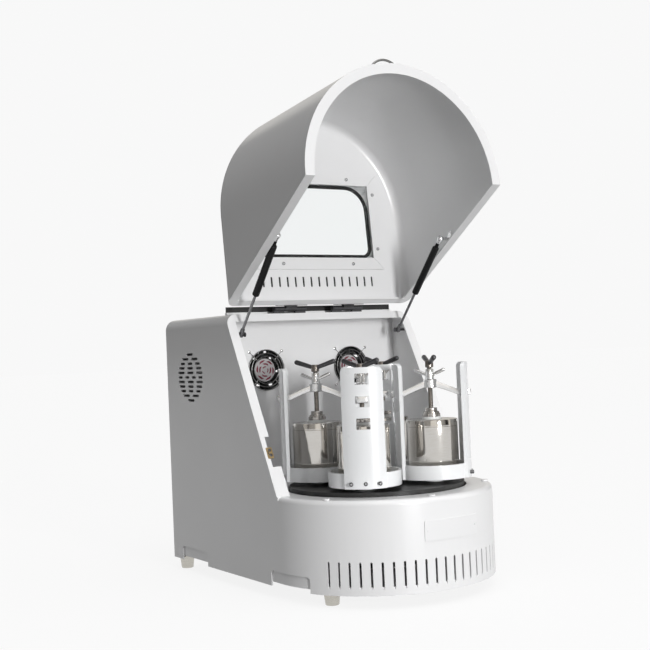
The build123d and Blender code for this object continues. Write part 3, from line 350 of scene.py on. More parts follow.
def material(name, group, inputs, shader, bump, stretch=(1, 1, 1)):
    """Material whose group feeds colour, roughness and bump; bump is its depth in millimetres.

    The shader values are the Principled sockets' own.
    """
    made, tree, principled = new_material(name)
    effect = effect_node(tree, group, {"Scale": stretch}, inputs)
    relief = node(tree, "ShaderNodeBump", Strength=1.0, Distance=bump * MM)
    tree.links.new(effect.outputs["Colour"], principled.inputs["Base Color"])
    tree.links.new(effect.outputs["Roughness"], principled.inputs["Roughness"])
    tree.links.new(effect.outputs["Height"], relief.inputs["Height"])
    tree.links.new(relief.outputs["Normal"], principled.inputs["Normal"])
    fill(principled, shader)
    return made


def coat(name, colour, roughness, dust, **shader):
    """Painted finish."""
    inputs = {"Colour": (*colour, 1), "Dust": dust, "Roughness": roughness, "Peel": 1.0}
    return material(name, COAT, inputs, shader, 0.03)


def metal(name, colour, darker, roughness, lines, stretch=(400, 400, 400)):
    """Bare metal with worked lines; the small stretch is the way the lines run."""
    inputs = {"Colour": (*colour, 1), "Darker": (*darker, 1), "Roughness": roughness, "Lines": lines}
    return material(name, WORKED, inputs, {"Metallic": 1.0}, 0.01, stretch)


def moulding(name, colour, rubbed, roughness, grain=1.0):
    """Moulded plastic or rubber."""
    inputs = {"Colour": (*colour, 1), "Rubbed": (*rubbed, 1), "Roughness": roughness, "Grain": grain}
    return material(name, MOULDED, inputs, {}, 0.08)


CLEAR = {"Coat Weight": 0.4, "Coat Roughness": 0.15}
white_coat = coat("white_coat", (0.83, 0.83, 0.835), 0.28, 0.05, **CLEAR)
lid_coat = coat("lid_coat", (0.83, 0.83, 0.835), 0.28, 0.05, **CLEAR)
holder_coat = coat(
    "holder_coat", (0.84, 0.85, 0.86), 0.25, 0.04, **{"Coat Weight": 0.5, "Coat Roughness": 0.1}
)
primer = coat("primer", (0.42, 0.43, 0.44), 0.5, 0.5)
motor_enamel = coat("motor_enamel", (0.2, 0.23, 0.26), 0.35, 0.4)
black_enamel = coat("black_enamel", (0.004, 0.004, 0.005), 0.45, 0.02, **{"Specular IOR Level": 0.15})
disc_finish = coat("disc_finish", (0.008, 0.009, 0.01), 0.4, 0.1, **{"Specular IOR Level": 0.25})
plate_white = coat("plate_white", (0.82, 0.82, 0.825), 0.3, 0.03)
polished = metal("polished_steel", (0.66, 0.64, 0.61), (0.5, 0.47, 0.43), 0.08, 0.35, (60, 60, 900))
dark_steel = metal("dark_steel", (0.12, 0.12, 0.125), (0.05, 0.05, 0.055), 0.3, 0.6, (300, 300, 300))
turned_steel = metal("turned_steel", (0.5, 0.5, 0.5), (0.35, 0.35, 0.35), 0.3, 0.5, (60, 60, 900))
bright_wire = metal("bright_wire", (0.75, 0.75, 0.76), (0.6, 0.6, 0.6), 0.12, 0.3)
brass = metal("brass", (0.42, 0.31, 0.16), (0.3, 0.21, 0.1), 0.3, 0.4)
rubber = moulding("rubber", (0.012, 0.012, 0.012), (0.03, 0.03, 0.03), 0.6)
black_plastic = moulding("black_plastic", (0.012, 0.012, 0.013), (0.025, 0.025, 0.027), 0.4)
pale_plastic = moulding("pale_plastic", (0.72, 0.73, 0.73), (0.8, 0.8, 0.8), 0.4, 0.3)
bar_steel = metal("bar_steel", (0.8, 0.8, 0.8), (0.62, 0.62, 0.62), 0.18, 0.4, (300, 300, 300))
foot_steel = metal("foot_steel", (0.5, 0.48, 0.46), (0.3, 0.28, 0.26), 0.2, 0.5, (60, 60, 900))
foot_metal = metal("foot_metal", (0.6, 0.58, 0.53), (0.4, 0.38, 0.34), 0.2, 0.5, (60, 60, 900))
dark_wire = metal("dark_wire", (0.3, 0.3, 0.3), (0.12, 0.12, 0.12), 0.25, 0.5)
spindle_steel = metal("spindle_steel", (0.27, 0.25, 0.23), (0.16, 0.14, 0.12), 0.25, 0.5, (60, 60, 900))
handle_steel = metal("handle_steel", (0.34, 0.34, 0.34), (0.2, 0.2, 0.2), 0.22, 0.5)
strut_chrome = metal("strut_chrome", (0.25, 0.25, 0.26), (0.14, 0.14, 0.14), 0.2, 0.4)
screw_zinc = metal("screw_zinc", (0.16, 0.16, 0.165), (0.08, 0.08, 0.08), 0.4, 0.5)
blade_plastic = moulding("blade_plastic", (0.006, 0.006, 0.006), (0.012, 0.012, 0.012), 0.7)
# Flat near-black for the plugs that fill the lid's slots
slot_screen = moulding("slot_screen", (0.008, 0.008, 0.008), (0.02, 0.02, 0.02), 0.8)


def printed_foil(name, centre):
    """Silver foil with broken dark red rings about a centre."""
    made, tree, principled = new_material(name)
    mapped = {"Location": tuple(-c for c in centre)}
    inks = {"Colour": (0.62, 0.6, 0.61, 1), "Ink": (0.26, 0.05, 0.08, 1)}
    effect = effect_node(tree, PRINTED, mapped, inks)
    tree.links.new(effect.outputs["Colour"], principled.inputs["Base Color"])
    fill(principled, {"Metallic": 0.7, "Roughness": 0.3})
    return made


hub_foil = {side: printed_foil(f"hub_foil_{side}", middle(f"fan_rotor_{side}")) for _, side in SIDES}

pane, pane_tree, pane_shader = new_material("pane")
fill(pane_shader, {"Base Color": (0.93, 0.95, 0.95, 1), "Transmission Weight": 1.0, "IOR": 1.12})
smears = node(pane_tree, "ShaderNodeTexNoise", Scale=9.0, Detail=4.0)
pane_place = pane_tree.nodes.new("ShaderNodeTexCoord")
pane_tree.links.new(pane_place.outputs["Object"], smears.inputs["Vector"])
pane_tree.links.new(ramp(pane_tree, smears.outputs["Fac"], 0.1, 4.0), pane_shader.inputs["Roughness"])

CAD_FINISH = {
    white_coat: ("base_frame", "housing_cover", "front_skirt", "deck_plate", "back_wall", "rear_panel"),
    lid_coat: ("lid_shell", "window_frame"),
    primer: ("bearing_housing",),
    dark_steel: ("strut_lower_studs", "hinge_fixed_leaves", "hinge_lid_leaves")
    + tuple(f"clamp_screw_{s}" for s in STATIONS),
    bright_wire: ("strut_upper_studs", "fan_guards", "strut_rod_left", "strut_rod_right"),
    foot_metal: ("feet",),
    handle_steel: ("lid_handle",),
    rubber: ("window_gasket", "hinge_seal", "drive_belt", "planet_belts"),
    plate_white: ("nameplate",),
    brass: ("latch_keeper",),
    black_plastic: ("fan_frames", "fan_rotor_left", "fan_rotor_right", "power_rocker"),
    black_enamel: ("strut_cylinder_left", "strut_cylinder_right"),
    motor_enamel: ("motor", "power_supply"),
    turned_steel: ("motor_pulley", "main_shaft"),
    disc_finish: ("turntable",),
    holder_coat: tuple(f"holder_{s}" for s in STATIONS),
    polished: tuple(f"{n}_{s}" for n in ("jar", "jar_lid") for s in STATIONS),
    bar_steel: tuple(f"{n}_{s}" for n in ("crossbar", "lock_nut") for s in STATIONS),
    pane: ("lid_window",),
}
for finish, names in CAD_FINISH.items():
    for name in names:
        mesh = frame["nodes"][name].data
        mesh.materials.clear()
        mesh.materials.append(finish)


# ---------------------------------------------------------------- forms of the pieces, in millimetres
def profile(*points):
    """Profile of radius and height in millimetres, as metres."""
    return np.array(points, float) * MM


def rounded_rod(length, thin, thick):
    """Tapered rod with a ball end.

    The radius grows evenly along it, then follows the cosine of a quarter turn.
    """
    straight = np.linspace(0, length - thick, 8)
    angle = np.linspace(0, np.pi / 2, 8)[1:]
    r = np.concatenate([[0], thin + (thick - thin) * straight / straight[-1], thick * np.cos(angle)])
    h = np.concatenate([[0], straight, length - thick + thick * np.sin(angle)])
    return np.stack([r, h], axis=-1) * MM


def shifted(surface, x, y, z=0.0):
    """Surface moved by a distance in metres."""
    return surface + np.array((x, y, z))


def standing(points, sides, centre):
    """Profile turned about the upright axis of a station."""
    return shifted(turned(points, sides), *centre)


def pair_of_arms(centre, low, reach, rise, thin, thick, turn):
    """Two tapered rods that rise outwards from a hub in a V; turn in degrees from +X."""
    rod = turned(rounded_rod(np.hypot(reach, rise), thin, thick), 28)
    angles = (radians(turn), radians(turn) + np.pi)
    ways = [(cos(angle) * reach, sin(angle) * reach, rise) for angle in angles]
    return [moved(rod, aimed((*centre, low * MM), way)) for way in ways]


def ring(radius, wire, rows=96, sides=14):
    """Wire ring about Z: ((R + w cos v) cos u, (R + w cos v) sin u, w sin v), u and v over a full turn."""
    u = np.linspace(0, TAU, rows + 1)[:, None]
    v = (np.arange(sides) * TAU / sides)[None, :]
    out = (radius + wire * np.cos(v)) * np.ones_like(u)
    return np.stack([out * np.cos(u), out * np.sin(u), wire * np.sin(v) * np.ones_like(u)], axis=-1) * MM


def threaded(radius, depth, pitch, low, high, sides=36):
    """Screw thread: radius less depth times a triangle wave of height over pitch less the turn's share."""
    h = np.linspace(low, high, int((high - low) / pitch * 8))[:, None]
    u = (np.arange(sides) * TAU / sides)[None, :]
    r = radius - depth * np.abs(((h / pitch - u / TAU) % 1) * 2 - 1)
    surface = np.stack([r * np.cos(u), r * np.sin(u), h * np.ones_like(r)], axis=-1) * MM
    return np.concatenate([surface[:1] * (0, 0, 1), surface, surface[-1:] * (0, 0, 1)])


def bar(stations, corner):
    """Rounded rectangle carried along X; each station gives x, width, height and the middle's height.

    The section's point is the half width or height less the corner, plus the corner's quarter circle.
    """
    x, width, height, middle_z = np.array(stations, float).T
    quarter = np.linspace(0, np.pi / 2, 5)
    angle = np.concatenate([quarter + k * np.pi / 2 for k in range(4)])
    sign_y = np.repeat((1, -1, -1, 1), 5)
    sign_z = np.repeat((1, 1, -1, -1), 5)
    grow = np.minimum(corner, np.minimum(width, height)[:, None] * 0.49)
    y = sign_y * (width[:, None] / 2 - grow) + grow * np.cos(angle)
    z = middle_z[:, None] + sign_z * (height[:, None] / 2 - grow) + grow * np.sin(angle)
    return np.stack([x[:, None] * np.ones_like(y), y, z], axis=-1) * MM


def about(surface, centre, turn):
    """Surface turned about Z and moved to a station."""
    m = np.eye(4)
    m[:2, :2] = [[cos(turn), -sin(turn)], [sin(turn), cos(turn)]]
    m[:2, 3] = centre
    return moved(surface, m)


def screw_head(radius, height):
    """Domed screw head with a round recess, on Z from its seat."""
    angle = np.linspace(0, 1.2, 6)
    r = np.concatenate([[0, radius], radius * np.cos(angle), [radius * 0.36, radius * 0.33, 0]])
    top = height * (0.35 + 0.65 * np.sin(angle) / np.sin(1.2))
    h = np.concatenate([[0, 0], top, [height, height * 0.3, height * 0.25]])
    return np.stack([r, h], axis=-1) * MM


# ---------------------------------------------------------------- jars, clamps and handles
JAR_RADIUS, JAR_WALL, JAR_LOW, JAR_SEAM, JAR_TOP = 53.0, 5.0, 229.0, 326.0, 340.0
PAD_RADIUS, PAD_TOP = 19.5, 345.0
BAR_TURN = 12.0                                   # degrees from the line through the turntable's axis
# Hub height, reach, rise and the two radii of the arms; then their turns in degrees from +X
WINGS, HANDLES = (428, 34, 14, 3.0, 3.8), (453.5, 48, 15, 4.2, 5.2)
WING_TURN = {"front": 30.0, "right": 120.0, "rear": 30.0, "left": 125.0}
HANDLE_TURN = {"front": 105.0, "right": 66.0, "rear": 105.0, "left": 122.0}
FOOT_SCREW_OUT, FOOT_SCREW_STEPS, FOOT_SCREW_Z = 78.0, (-28, 0, 28), 231.0

jar_inner = JAR_RADIUS - JAR_WALL
jar_profile = profile(
    (0, JAR_LOW), (JAR_RADIUS - 1.5, JAR_LOW), (JAR_RADIUS - 0.4, JAR_LOW + 0.4), (JAR_RADIUS, JAR_LOW + 1.5),
    (JAR_RADIUS, JAR_SEAM - 0.4), (JAR_RADIUS - 0.4, JAR_SEAM), (jar_inner, JAR_SEAM),
    (jar_inner, JAR_LOW + JAR_WALL), (0, JAR_LOW + JAR_WALL),
)
jar_lid_profile = profile(
    (0, JAR_SEAM), (JAR_RADIUS - 0.4, JAR_SEAM), (JAR_RADIUS, JAR_SEAM + 0.4), (JAR_RADIUS, JAR_TOP - 1.6),
    (JAR_RADIUS - 0.5, JAR_TOP - 0.5), (JAR_RADIUS - 1.6, JAR_TOP), (PAD_RADIUS + 3, JAR_TOP),
    (PAD_RADIUS + 2.4, JAR_TOP - 0.5), (0, JAR_TOP - 0.5),
)
pad_profile = profile(
    (0, JAR_TOP - 0.4), (PAD_RADIUS - 0.6, JAR_TOP - 0.4), (PAD_RADIUS, JAR_TOP + 0.2),
    (PAD_RADIUS, PAD_TOP - 0.7), (PAD_RADIUS - 0.7, PAD_TOP), (0, PAD_TOP),
)
foot_profile = profile(
    (0, 345.1), (17.7, 345.1), (18.5, 345.9), (18.5, 350.6), (17.8, 351.4), (16.6, 351.6), (16.3, 354.6),
    (15.4, 355.4), (13.2, 355.6), (12.5, 356.6), (12.5, 361.8), (11.6, 363), (5.6, 363), (5.6, 356), (0, 356),
)
bar_hub_profile = profile((5.2, 404), (13, 404), (14, 405), (14, 420), (13, 421), (5.2, 421), (5.2, 404))
nut_hub_profile = profile(
    (5.2, 421.5), (8.6, 421.5), (9, 422.2), (8.8, 425), (8.2, 436), (8.2, 442), (7.5, 443), (5.2, 443),
    (5.2, 421.5),
)
tee_hub_profile = profile(
    (0, 446), (7.4, 446), (8.5, 447), (8.5, 459), (7.6, 460.4), (6, 461), (2.4, 461), (2, 460.4), (0, 460.4),
)
half_bar = [
    (0, 13.4, 13, 411), (14, 13.4, 13, 411), (34, 13.4, 12.0, 403.4), (54, 13.4, 11.5, 394.4),
    (64.8, 13.4, 11.5, 393.6), (65.2, 17, 12, 393.3), (66.5, 21, 13, 393.2), (80.5, 21, 13, 393.2),
    (82.4, 18.5, 11, 393.2), (83, 13, 7, 393.2), (83, 0.02, 0.02, 393.2),
]
whole_bar = [(-x, *rest) for x, *rest in reversed(half_bar)] + half_bar[1:]
long_head = np.concatenate([profile((0, -7), (4, -7)), screw_head(4.0, 2.0)[1:]])

for station in STATIONS:
    centre = middle(f"jar_{station}")[:2]
    bar_turn = np.arctan2(centre[1] - AXIS_Y, centre[0]) + radians(BAR_TURN)
    planet, screw, nut = f"planet_{station}", f"clamp_screw_{station}", f"lock_nut_{station}"
    crossbar = [about(bar(whole_bar, 1.6), centre, bar_turn), standing(bar_hub_profile, 56, centre)]
    wings = [standing(nut_hub_profile, 40, centre)] + pair_of_arms(centre, *WINGS, WING_TURN[station])
    thread = shifted(threaded(5.0, 0.5, 2.0, 351, 446), *centre)
    spindle = [thread, standing(tee_hub_profile, 48, centre)]
    arms = pair_of_arms(centre, *HANDLES, HANDLE_TURN[station])
    jar, cover = (standing(points, 160, centre) for points in (jar_profile, jar_lid_profile))
    pad = standing(pad_profile, 64, centre)
    for name, surfaces, finish, body, slot, old in (
        ("jar_body", [jar], polished, planet, "polished_steel", "jar"),
        ("jar_cover", [cover], polished, planet, "polished_steel", "jar_lid"),
        ("press_pad", [pad], pale_plastic, planet, "polished_steel", "jar_lid"),
        ("crossbar_body", crossbar, bar_steel, planet, "bar_steel", "crossbar"),
        ("swivel_foot", [standing(foot_profile, 56, centre)], foot_steel, planet, "bar_steel", "crossbar"),
        ("nut_wings", wings, bar_steel, nut, "bar_steel", "lock_nut"),
        ("spindle", spindle, spindle_steel, screw, "bar_steel", "clamp_screw"),
        ("tee_arms", arms, dark_steel, screw, "dark_steel", "clamp_screw"),
    ):
        make(f"{name}_{station}", surfaces, finish, body, [f"{old}_{station}"])
    heads = []
    for half in (0, np.pi):
        out = np.array([cos(bar_turn + half), sin(bar_turn + half), 0])
        across = np.array([-out[1], out[0], 0])
        for step in FOOT_SCREW_STEPS:
            seat = np.array([*centre, FOOT_SCREW_Z * MM]) + (out * FOOT_SCREW_OUT + across * step) * MM
            heads.append(moved(turned(long_head, 24), aimed(seat, out)))
    make(f"foot_screws_{station}", heads, screw_zinc, planet)

# ---------------------------------------------------------------- latch keeper: a wire bow between two studs
LIP_LOW_Y, LIP_LOW_Z, LIP_RUN, LIP_RISE = 3.0, 204.0, 192.0, 371.0   # the housing's slanted lip
KEEPER_X, KEEPER_UP, KEEPER_STUDS = -225.5, 84.0, (6.0, -5.0)        # up from the lip's lower end
BOW_WIRE, BOW_HEIGHT, BOW_OUT, BOW_HALF = 0.7, 2, 5, 5.5

slant = np.array([0, LIP_RUN, LIP_RISE]) / np.hypot(LIP_RUN, LIP_RISE)
keeper_frame = np.eye(4)
keeper_frame[:3, 0], keeper_frame[:3, 1], keeper_frame[:3, 2] = (1, 0, 0), slant, (0, -slant[2], slant[1])
keeper_y = LIP_LOW_Y + KEEPER_UP * LIP_RUN / LIP_RISE
keeper_frame[:3, 3] = part_place(KEEPER_X, keeper_y, LIP_LOW_Z + KEEPER_UP)
stud_profile = profile((0, 1.2), (3.3, 1.2), (3.3, 2.1), (2.7, 2.6), (1.2, 2.8), (0, 2.8))
studs = [moved(shifted(turned(stud_profile, 24), 1 * MM, y * MM), keeper_frame) for y in KEEPER_STUDS]
make("keeper_studs", studs, dark_steel, "frame")
bow_angle = np.linspace(0, np.pi, 25)
bow_x, bow_y = 1 - BOW_OUT * np.sin(bow_angle), 0.5 + BOW_HALF * np.cos(bow_angle)
bow = np.stack([bow_x, bow_y, BOW_HEIGHT + 0 * bow_angle], axis=-1) * MM
make("keeper_bow", [moved(carried(bow, BOW_WIRE * MM, 12), keeper_frame)], dark_steel, "frame")

# ---------------------------------------------------------------- fans: wire guards, rotors, printed hubs
FAN_X, FAN_Z, WALL_Y, FAN_DEPTH, FAN_BORE = 112.0, 452.0, 250.0, 25.0, 44.8
WALL_SHEET, ROTOR_LEAD, ROTOR_HALF = 3.0, 1.0, 8.5   # rotor's middle lies that far in front of the frame's
GUARD_WIRE, GUARD_RINGS, SPOKE_START = 1.2, (44.6, 37.5, 30.5), 29
SCREW_OUT = 82.5 / np.sqrt(2)                        # the screws stand on a square of 82.5
HUB_RADIUS, BLADES, BLADE_LEAN, BLADE_THICK = 28.5, 7, radians(40), 0.8
hub_profile = profile(
    (0, -17), (HUB_RADIUS, -17), (HUB_RADIUS, -1.6), (HUB_RADIUS - 0.5, -0.5), (HUB_RADIUS - 1.6, 0), (0, 0),
)
face_profile = profile(
    (0, 0.05), (HUB_RADIUS - 3.2, 0.05), (HUB_RADIUS - 3, 0.25), (HUB_RADIUS - 3.2, 0.45), (0, 0.5),
)


def blade(order):
    """Fan blade: a thin rounded plate; its chord at radius r leans 40 degrees and sweeps back as r grows."""
    r = np.linspace(HUB_RADIUS - 1, FAN_BORE - 2.2, 10)[:, None]
    v = (np.arange(28) * TAU / 28)[None, :]
    share = (r - r[0]) / (r[-1] - r[0])
    chord = (9.5 + 1.5 * share) * np.cos(v)
    thick = BLADE_THICK * np.sin(v) * (1 - 0.3 * np.cos(v))
    along = chord * cos(BLADE_LEAN) - thick * sin(BLADE_LEAN)
    axial = chord * sin(BLADE_LEAN) + thick * cos(BLADE_LEAN) + 1.2 * (1 - (chord / 11) ** 2)
    axial = np.clip(axial, 0.2 - ROTOR_HALF, ROTOR_HALF - 0.2) - ROTOR_HALF
    angle = order * TAU / BLADES + along / r + 0.12 * share
    grid = np.stack([r * np.cos(angle), r * np.sin(angle), axial], axis=-1) * MM
    ends = [grid[k].mean(axis=0) * np.ones_like(grid[:1]) for k in (0, -1)]
    return np.concatenate([ends[0], grid, ends[1]])


for side, side_name in SIDES:
    front = aimed(part_place(side * FAN_X, WALL_Y, FAN_Z), (0, -1, 0))
    rotor_y = WALL_Y + WALL_SHEET + FAN_DEPTH / 2 - ROTOR_LEAD - ROTOR_HALF
    rotor_front = aimed(part_place(side * FAN_X, rotor_y, FAN_Z), (0, -1, 0))
    rings = [ring(radius, GUARD_WIRE * 0.8) for radius in GUARD_RINGS]
    rings = [moved(shifted(wire, 0, 0, 2.4 * GUARD_WIRE * MM), front) for wire in rings]
    spoke = turned(rounded_rod(SCREW_OUT - SPOKE_START, 1.0, 1.0), 12)
    head = turned(screw_head(3.6, 2.3), 24)
    spokes, heads = [], []
    for quarter in range(4):
        turn = TAU / 8 + quarter * TAU / 4
        way = np.array([cos(turn), sin(turn), 0])
        start = way * SPOKE_START * MM + np.array([0, 0, GUARD_WIRE * MM])
        spokes.append(moved(moved(spoke, aimed(start, way)), front))
        heads.append(moved(shifted(head, *(way[:2] * SCREW_OUT * MM)), front))
    for name, surfaces, finish in (
        ("guard_rings", rings, dark_wire),
        ("guard_spokes", spokes, bright_wire),
        ("guard_screws", heads, bright_wire),
    ):
        make(f"{name}_{side_name}", surfaces, finish, "frame", ["fan_guards"])
    rotor = f"fan_rotor_{side_name}"
    surfaces = [moved(form, rotor_front) for form in (turned(hub_profile, 72), *map(blade, range(BLADES)))]
    make(f"rotor_{side_name}", surfaces, blade_plastic, rotor, [rotor])
    face = moved(turned(face_profile, 72), rotor_front)
    make(f"hub_face_{side_name}", [face], hub_foil[side_name], rotor)

# ---------------------------------------------------------------- gas struts: turned pieces with ball ends
STRUT_X, STUD_PLATE_X, STUD_Y, STUD_Z = 206.0, 234.9, 78.3, 386.3    # upper studs, on the closed lid
TUBE_START, TUBE_END, TUBE_RADIUS = 107.0, 235.0, 7.5
shaft_profile = profile(
    (0, -6.6), (3.2, -5.8), (5.6, -3.5), (6.6, 0), (5.8, 3.2), (4.6, 5.2), (4.6, 14), (4.2, 15), (3, 15.4),
    (3, 118), (5.5, 118), (5.5, 123), (0, 123),
)
tube_profile = profile(
    (3.1, TUBE_START + 2), (3.1, TUBE_START), (6.4, TUBE_START), (7.2, TUBE_START + 0.8),
    (TUBE_RADIUS, TUBE_START + 2.5), (TUBE_RADIUS, TUBE_END - 3), (7.0, TUBE_END - 0.8), (6.2, TUBE_END),
    (4.2, 235.6), (4.2, 236), (3.6, 250), (0, 250),
)
ball_profile = profile(
    (0, 246), (3.9, 247), (4.6, 253), (6.4, 256.6), (7, 259.2), (6.4, 262), (4.4, 264.6), (0, 266.1),
)
plate_stations = (
    (-10.6, 0.02, 0.02), (-10.6, 10, 1.6), (-10, 13, 2.2), (16.4, 13, 2.2), (17, 10, 1.6), (17, 0.02, 0.02),
)

for side, side_name in SIDES:
    low = joint_place(f"strut_swing_{side_name}")
    line = aimed(low, opened(side * STRUT_X, STUD_Y, STUD_Z) - low)
    rod, cylinder = f"strut_rod_{side_name}", f"strut_cylinder_{side_name}"
    for name, points, sides, finish, body, slot in (
        ("strut_shaft", shaft_profile, 40, strut_chrome, rod, "bright_wire"),
        ("strut_tube", tube_profile, 48, black_enamel, cylinder, "black_paint"),
        ("strut_ball", ball_profile, 40, bright_wire, cylinder, "black_paint"),
    ):
        make(f"{name}_{side_name}", [moved(turned(points, sides), line)], finish, body, [body])
    plate = bar([(side * x, wide, deep, 1.2) for x, wide, deep in plate_stations], 1.0)
    seat = aimed(opened(side * STUD_PLATE_X, STUD_Y, STUD_Z), (-side, 0, 0))
    make(f"stud_plate_{side_name}", [moved(plate, seat)], bright_wire, "lid")

# ---------------------------------------------------------------- feet, window and slots
FEET = ((180.0, -95.0), (216.0, 475.0))
FRAME_SCREWS, FRAME_FACE = ((91.5, 101.0), (163.0, 66.0), (163.0, -61.0), (95.0, -95.0)), 565.2
WINDOW_HALF, WINDOW_Y, WINDOW_RADII = 147.0, (-78.0, 84.0), (55.0, 22.0)
TRIM_LEVEL, TRIM_SHIFT, TRIM_WIDE, TRIM_DEEP = 573.4, -1.1, 3.9, 3.0   # wide and deep are half sizes
SLOT_COUNT, SLOT_PITCH, SLOT_Y = 15, 20.3, 140.5
SLOT_RADIUS, SLOT_HALF, SLOT_LEVELS = 2.15, 11.4, (573.2, 573.2, 574.0, 574.0)

foot_turned = turned(profile(
    (0, 0), (12.6, 0), (13.5, 0.9), (13.9, 3), (16.2, 22), (16.9, 24), (17, 27), (17, 32.6), (0, 32.6),
), 48)
feet = [shifted(foot_turned, side * x * MM, y * MM + AXIS_Y) for x, y in FEET for side in (-1, 1)]
make("feet_turned", feet, foot_metal, "frame", ["feet"])

lid_in = opened(0, 0, 0) - opened(0, 0, 1)
head = turned(screw_head(4.2, 2.2), 24)
heads = [
    moved(head, aimed(opened(side * x, y, FRAME_FACE), lid_in)) for x, y in FRAME_SCREWS for side in (-1, 1)
]
make("frame_screws", heads, screw_zinc, "lid")


def window_trim():
    """Squared rubber bead carried round the edge of the window, a rectangle with round corners.

    The bead's point lies outwards by the signed square root of cos u and upwards by that of sin u, each
    times its half size.
    """
    quarter = np.linspace(0, np.pi / 2, 10)
    x, y, turn = [], [], []
    for k, (side, row) in enumerate(((1, 1), (-1, 1), (-1, 0), (1, 0))):
        radius = WINDOW_RADII[row]
        angle = quarter + k * np.pi / 2
        x.append(side * (WINDOW_HALF - radius) + radius * np.cos(angle))
        y.append(WINDOW_Y[row] + (-radius if row else radius) + radius * np.sin(angle))
        turn.append(angle)
    x, y, turn = (np.concatenate(values)[:, None] for values in (x, y, turn))
    u = (np.arange(20) * TAU / 20)[None, :]
    out = TRIM_SHIFT + TRIM_WIDE * np.sign(np.cos(u)) * np.sqrt(np.abs(np.cos(u)))
    level = TRIM_LEVEL + TRIM_DEEP * np.sign(np.sin(u)) * np.sqrt(np.abs(np.sin(u)))
    return opened(x + out * np.cos(turn), y + out * np.sin(turn), level)


def slot_plug(x):
    """Flat slot-shaped plug: two half circles of radius r joined by straight sides, in two levels."""
    straight = SLOT_HALF - SLOT_RADIUS
    angle = np.linspace(0, np.pi, 9)
    across, along = SLOT_RADIUS * np.cos(angle), straight + SLOT_RADIUS * np.sin(angle)
    rim_x, rim_y = np.concatenate([across, -across]), np.concatenate([along, -along])
    scale = np.array([0, 1, 1, 0])[:, None]
    return opened(x + rim_x * scale, SLOT_Y + rim_y * scale, np.array(SLOT_LEVELS)[:, None])


make("window_trim", [window_trim()], rubber, "lid", ["window_gasket"], close_path=True)
# Flat dark plugs are set level in the lid's slots, so the slots show black
plugs = [slot_plug((k - (SLOT_COUNT - 1) / 2) * SLOT_PITCH) for k in range(SLOT_COUNT)]
make("slot_mesh", plugs, slot_screen, "lid")

# ---------------------------------------------------------------- floor, background, lamps and camera
BACKDROP = 0.94                                   # how bright the plain background shows, 1 is white
FLOOR_SHOWN = 0.86                                # share of even brightness in the floor as it is seen
FLOOR_HALF = 40.0                                 # metres
FLOOR_DARK, FLOOR_PALE = (0.16, 0.16, 0.16, 1), (0.95, 0.95, 0.95, 1)
# Soft light by its direction in degrees, then what polished metal mirrors: upright studio screens
SOFT = ((-180, 0.3), (-150, 0.3), (-115, 0.34), (-80, 0.38), (-30, 0.38), (20, 0.34), (90, 0.3), (140, 0.3))
SCREENS = (
    (-180, 0.5), (-171, 0.5), (-168, 0.04), (-164, 0.04), (-161, 0.34), (-140, 0.4), (-134, 0.3),
    (-131, 0.93), (-106, 0.93), (-102, 0.36), (-66, 0.3), (-62, 0.02), (-48, 0.03), (-44, 0.9), (-14, 0.9),
    (-8, 0.1), (30, 0.06), (40, 0.6), (75, 0.7), (80, 0.1), (112, 0.1), (118, 0.15), (140, 0.12),
    (146, 0.12), (166, 0.2), (172, 0.5),
)


def any_ray(tree, *kinds):
    """1 for rays of any of these kinds, 0 for the others."""
    paths = tree.nodes.new("ShaderNodeLightPath")
    mask = paths.outputs[kinds[0]]
    for kind in kinds[1:]:
        mask = math_node(tree, "MAXIMUM", mask, paths.outputs[kind])
    return mask


def mixed(tree, factor, first, second):
    """Two shaders mixed by a factor."""
    made = tree.nodes.new("ShaderNodeMixShader")
    for socket, value in zip(made.inputs, (factor, first, second)):
        tree.links.new(value, socket)
    return made.outputs[0]


# The floor is pale to the camera, darker to the light that bounces from it, and lifted to the background
floor_mesh = bpy.data.meshes.new("floor")
corners = [(x * FLOOR_HALF, y * FLOOR_HALF, 0) for x, y in ((-1, -1), (1, -1), (1, 1), (-1, 1))]
floor_mesh.from_pydata(corners, [], [(0, 1, 2, 3)])
put("floor", floor_mesh)
floor_finish, floor_tree, floor_shader = new_material("floor_finish")
fill(floor_shader, {"Roughness": 0.9, "Specular IOR Level": 0.1})
floor_colour = blend_colour(floor_tree, any_ray(floor_tree, "Is Camera Ray"), FLOOR_DARK, FLOOR_PALE)
floor_tree.links.new(floor_colour, floor_shader.inputs["Base Color"])
even = node(floor_tree, "ShaderNodeEmission", Color=(1, 1, 1, 1), Strength=1.0)
seen = any_ray(floor_tree, "Is Camera Ray", "Is Glossy Ray", "Is Transmission Ray")
share = product(floor_tree, seen, FLOOR_SHOWN)
lifted = mixed(floor_tree, share, floor_shader.outputs[0], even.outputs[0])
floor_tree.links.new(lifted, floor_tree.nodes["Material Output"].inputs["Surface"])
floor_mesh.materials.append(floor_finish)

world = bpy.data.worlds.new("studio")
bpy.context.scene.world = world
world.use_nodes = True
world_tree = world.node_tree
world_tree.nodes.clear()
sky = world_tree.nodes.new("ShaderNodeTexCoord")
round_about = node(world_tree, "ShaderNodeTexGradient", gradient_type="RADIAL")
world_tree.links.new(sky.outputs["Generated"], round_about.inputs["Vector"])


def light_by_direction(levels, warmth):
    """Background whose brightness follows the direction round the horizon."""
    ramp_node = world_tree.nodes.new("ShaderNodeValToRGB")
    stops = ramp_node.color_ramp.elements
    levels = sorted(levels)
    levels.append((180, levels[0][1]))
    while len(stops) < len(levels):
        stops.new(1.0)
    for stop, (direction, bright) in zip(stops, levels):
        stop.position = direction / 360 + 0.5
        stop.color = (bright, bright * (1 - 0.4 * warmth), bright * (1 - warmth), 1)
    world_tree.links.new(round_about.outputs["Fac"], ramp_node.inputs["Fac"])
    light = node(world_tree, "ShaderNodeBackground", Strength=1.0)
    world_tree.links.new(ramp_node.outputs["Color"], light.inputs["Color"])
    return light.outputs[0]


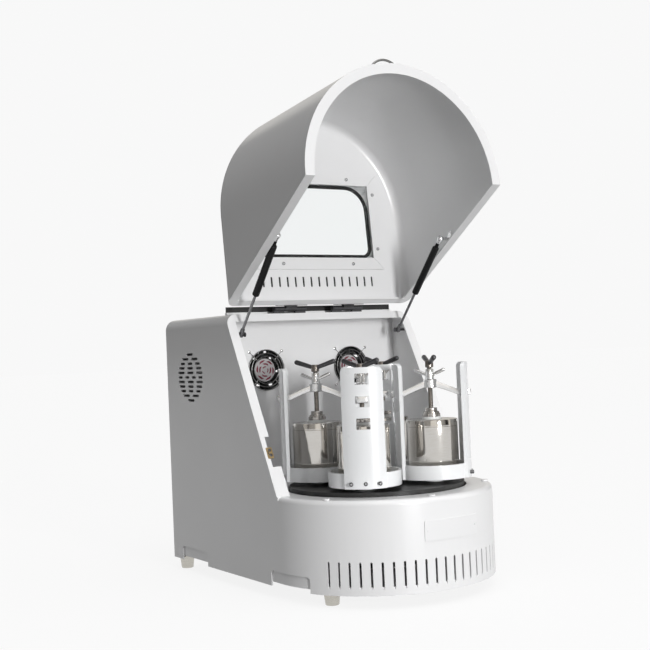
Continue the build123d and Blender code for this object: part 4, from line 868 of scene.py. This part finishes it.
soft, screens = light_by_direction(SOFT, 0.0), light_by_direction(SCREENS, 0.1)
plain = node(world_tree, "ShaderNodeBackground", Color=(1, 1, 1, 1), Strength=BACKDROP).outputs[0]
lit = mixed(world_tree, any_ray(world_tree, "Is Glossy Ray"), soft, screens)
seen = any_ray(world_tree, "Is Camera Ray", "Is Transmission Ray")
world_out = world_tree.nodes.new("ShaderNodeOutputWorld")
world_tree.links.new(mixed(world_tree, seen, lit, plain), world_out.inputs["Surface"])


def lamp(name, kind, place, from_where, **values):
    """Light that shines from a direction; values are its own settings."""
    data = bpy.data.lights.new(name, kind)
    for key, value in values.items():
        setattr(data, key, value)
    put(name, data).matrix_world = Matrix(aimed(place, from_where).tolist())


KEY_PLACE, KEY_TARGET = (-0.15, -5.2, 0.4), (0.0, 0.0, 0.5)
key_way = np.subtract(KEY_PLACE, KEY_TARGET)
lamp("key", "AREA", KEY_PLACE, key_way, shape="RECTANGLE", size=2.6, size_y=0.74, energy=262)
lamp("top", "SUN", (0, 0, 0), (0.05, -0.4, 1.0), energy=1.05, angle=radians(60))

# Camera fitted to the photograph
YAW, PITCH, ROLL = radians(32.2), radians(-1.2), radians(-2.43)
FOCUS_PIXELS, PICTURE_PIXELS, SENSOR = 1167.09, 650.0, 36.0
forward = np.array([sin(YAW) * cos(PITCH), cos(YAW) * cos(PITCH), -sin(PITCH)])
level = np.array([cos(YAW), -sin(YAW), 0.0])
upward = np.cross(level, forward)
camera_data = bpy.data.cameras.new("camera")
camera_data.sensor_width = SENSOR
camera_data.lens = SENSOR * FOCUS_PIXELS / PICTURE_PIXELS
camera_data.clip_end = 100.0
pose = np.eye(4)
pose[:3, 0] = cos(ROLL) * level + sin(ROLL) * upward
pose[:3, 1] = cos(ROLL) * upward - sin(ROLL) * level
pose[:3, 2] = -forward
pose[:3, 3] = part_place(-1378.22, -2013.54, 492.07)
camera = put("camera", camera_data)
camera.matrix_world = Matrix(pose.tolist())
bpy.context.scene.camera = camera
bpy.context.scene.view_settings.view_transform = "Standard"
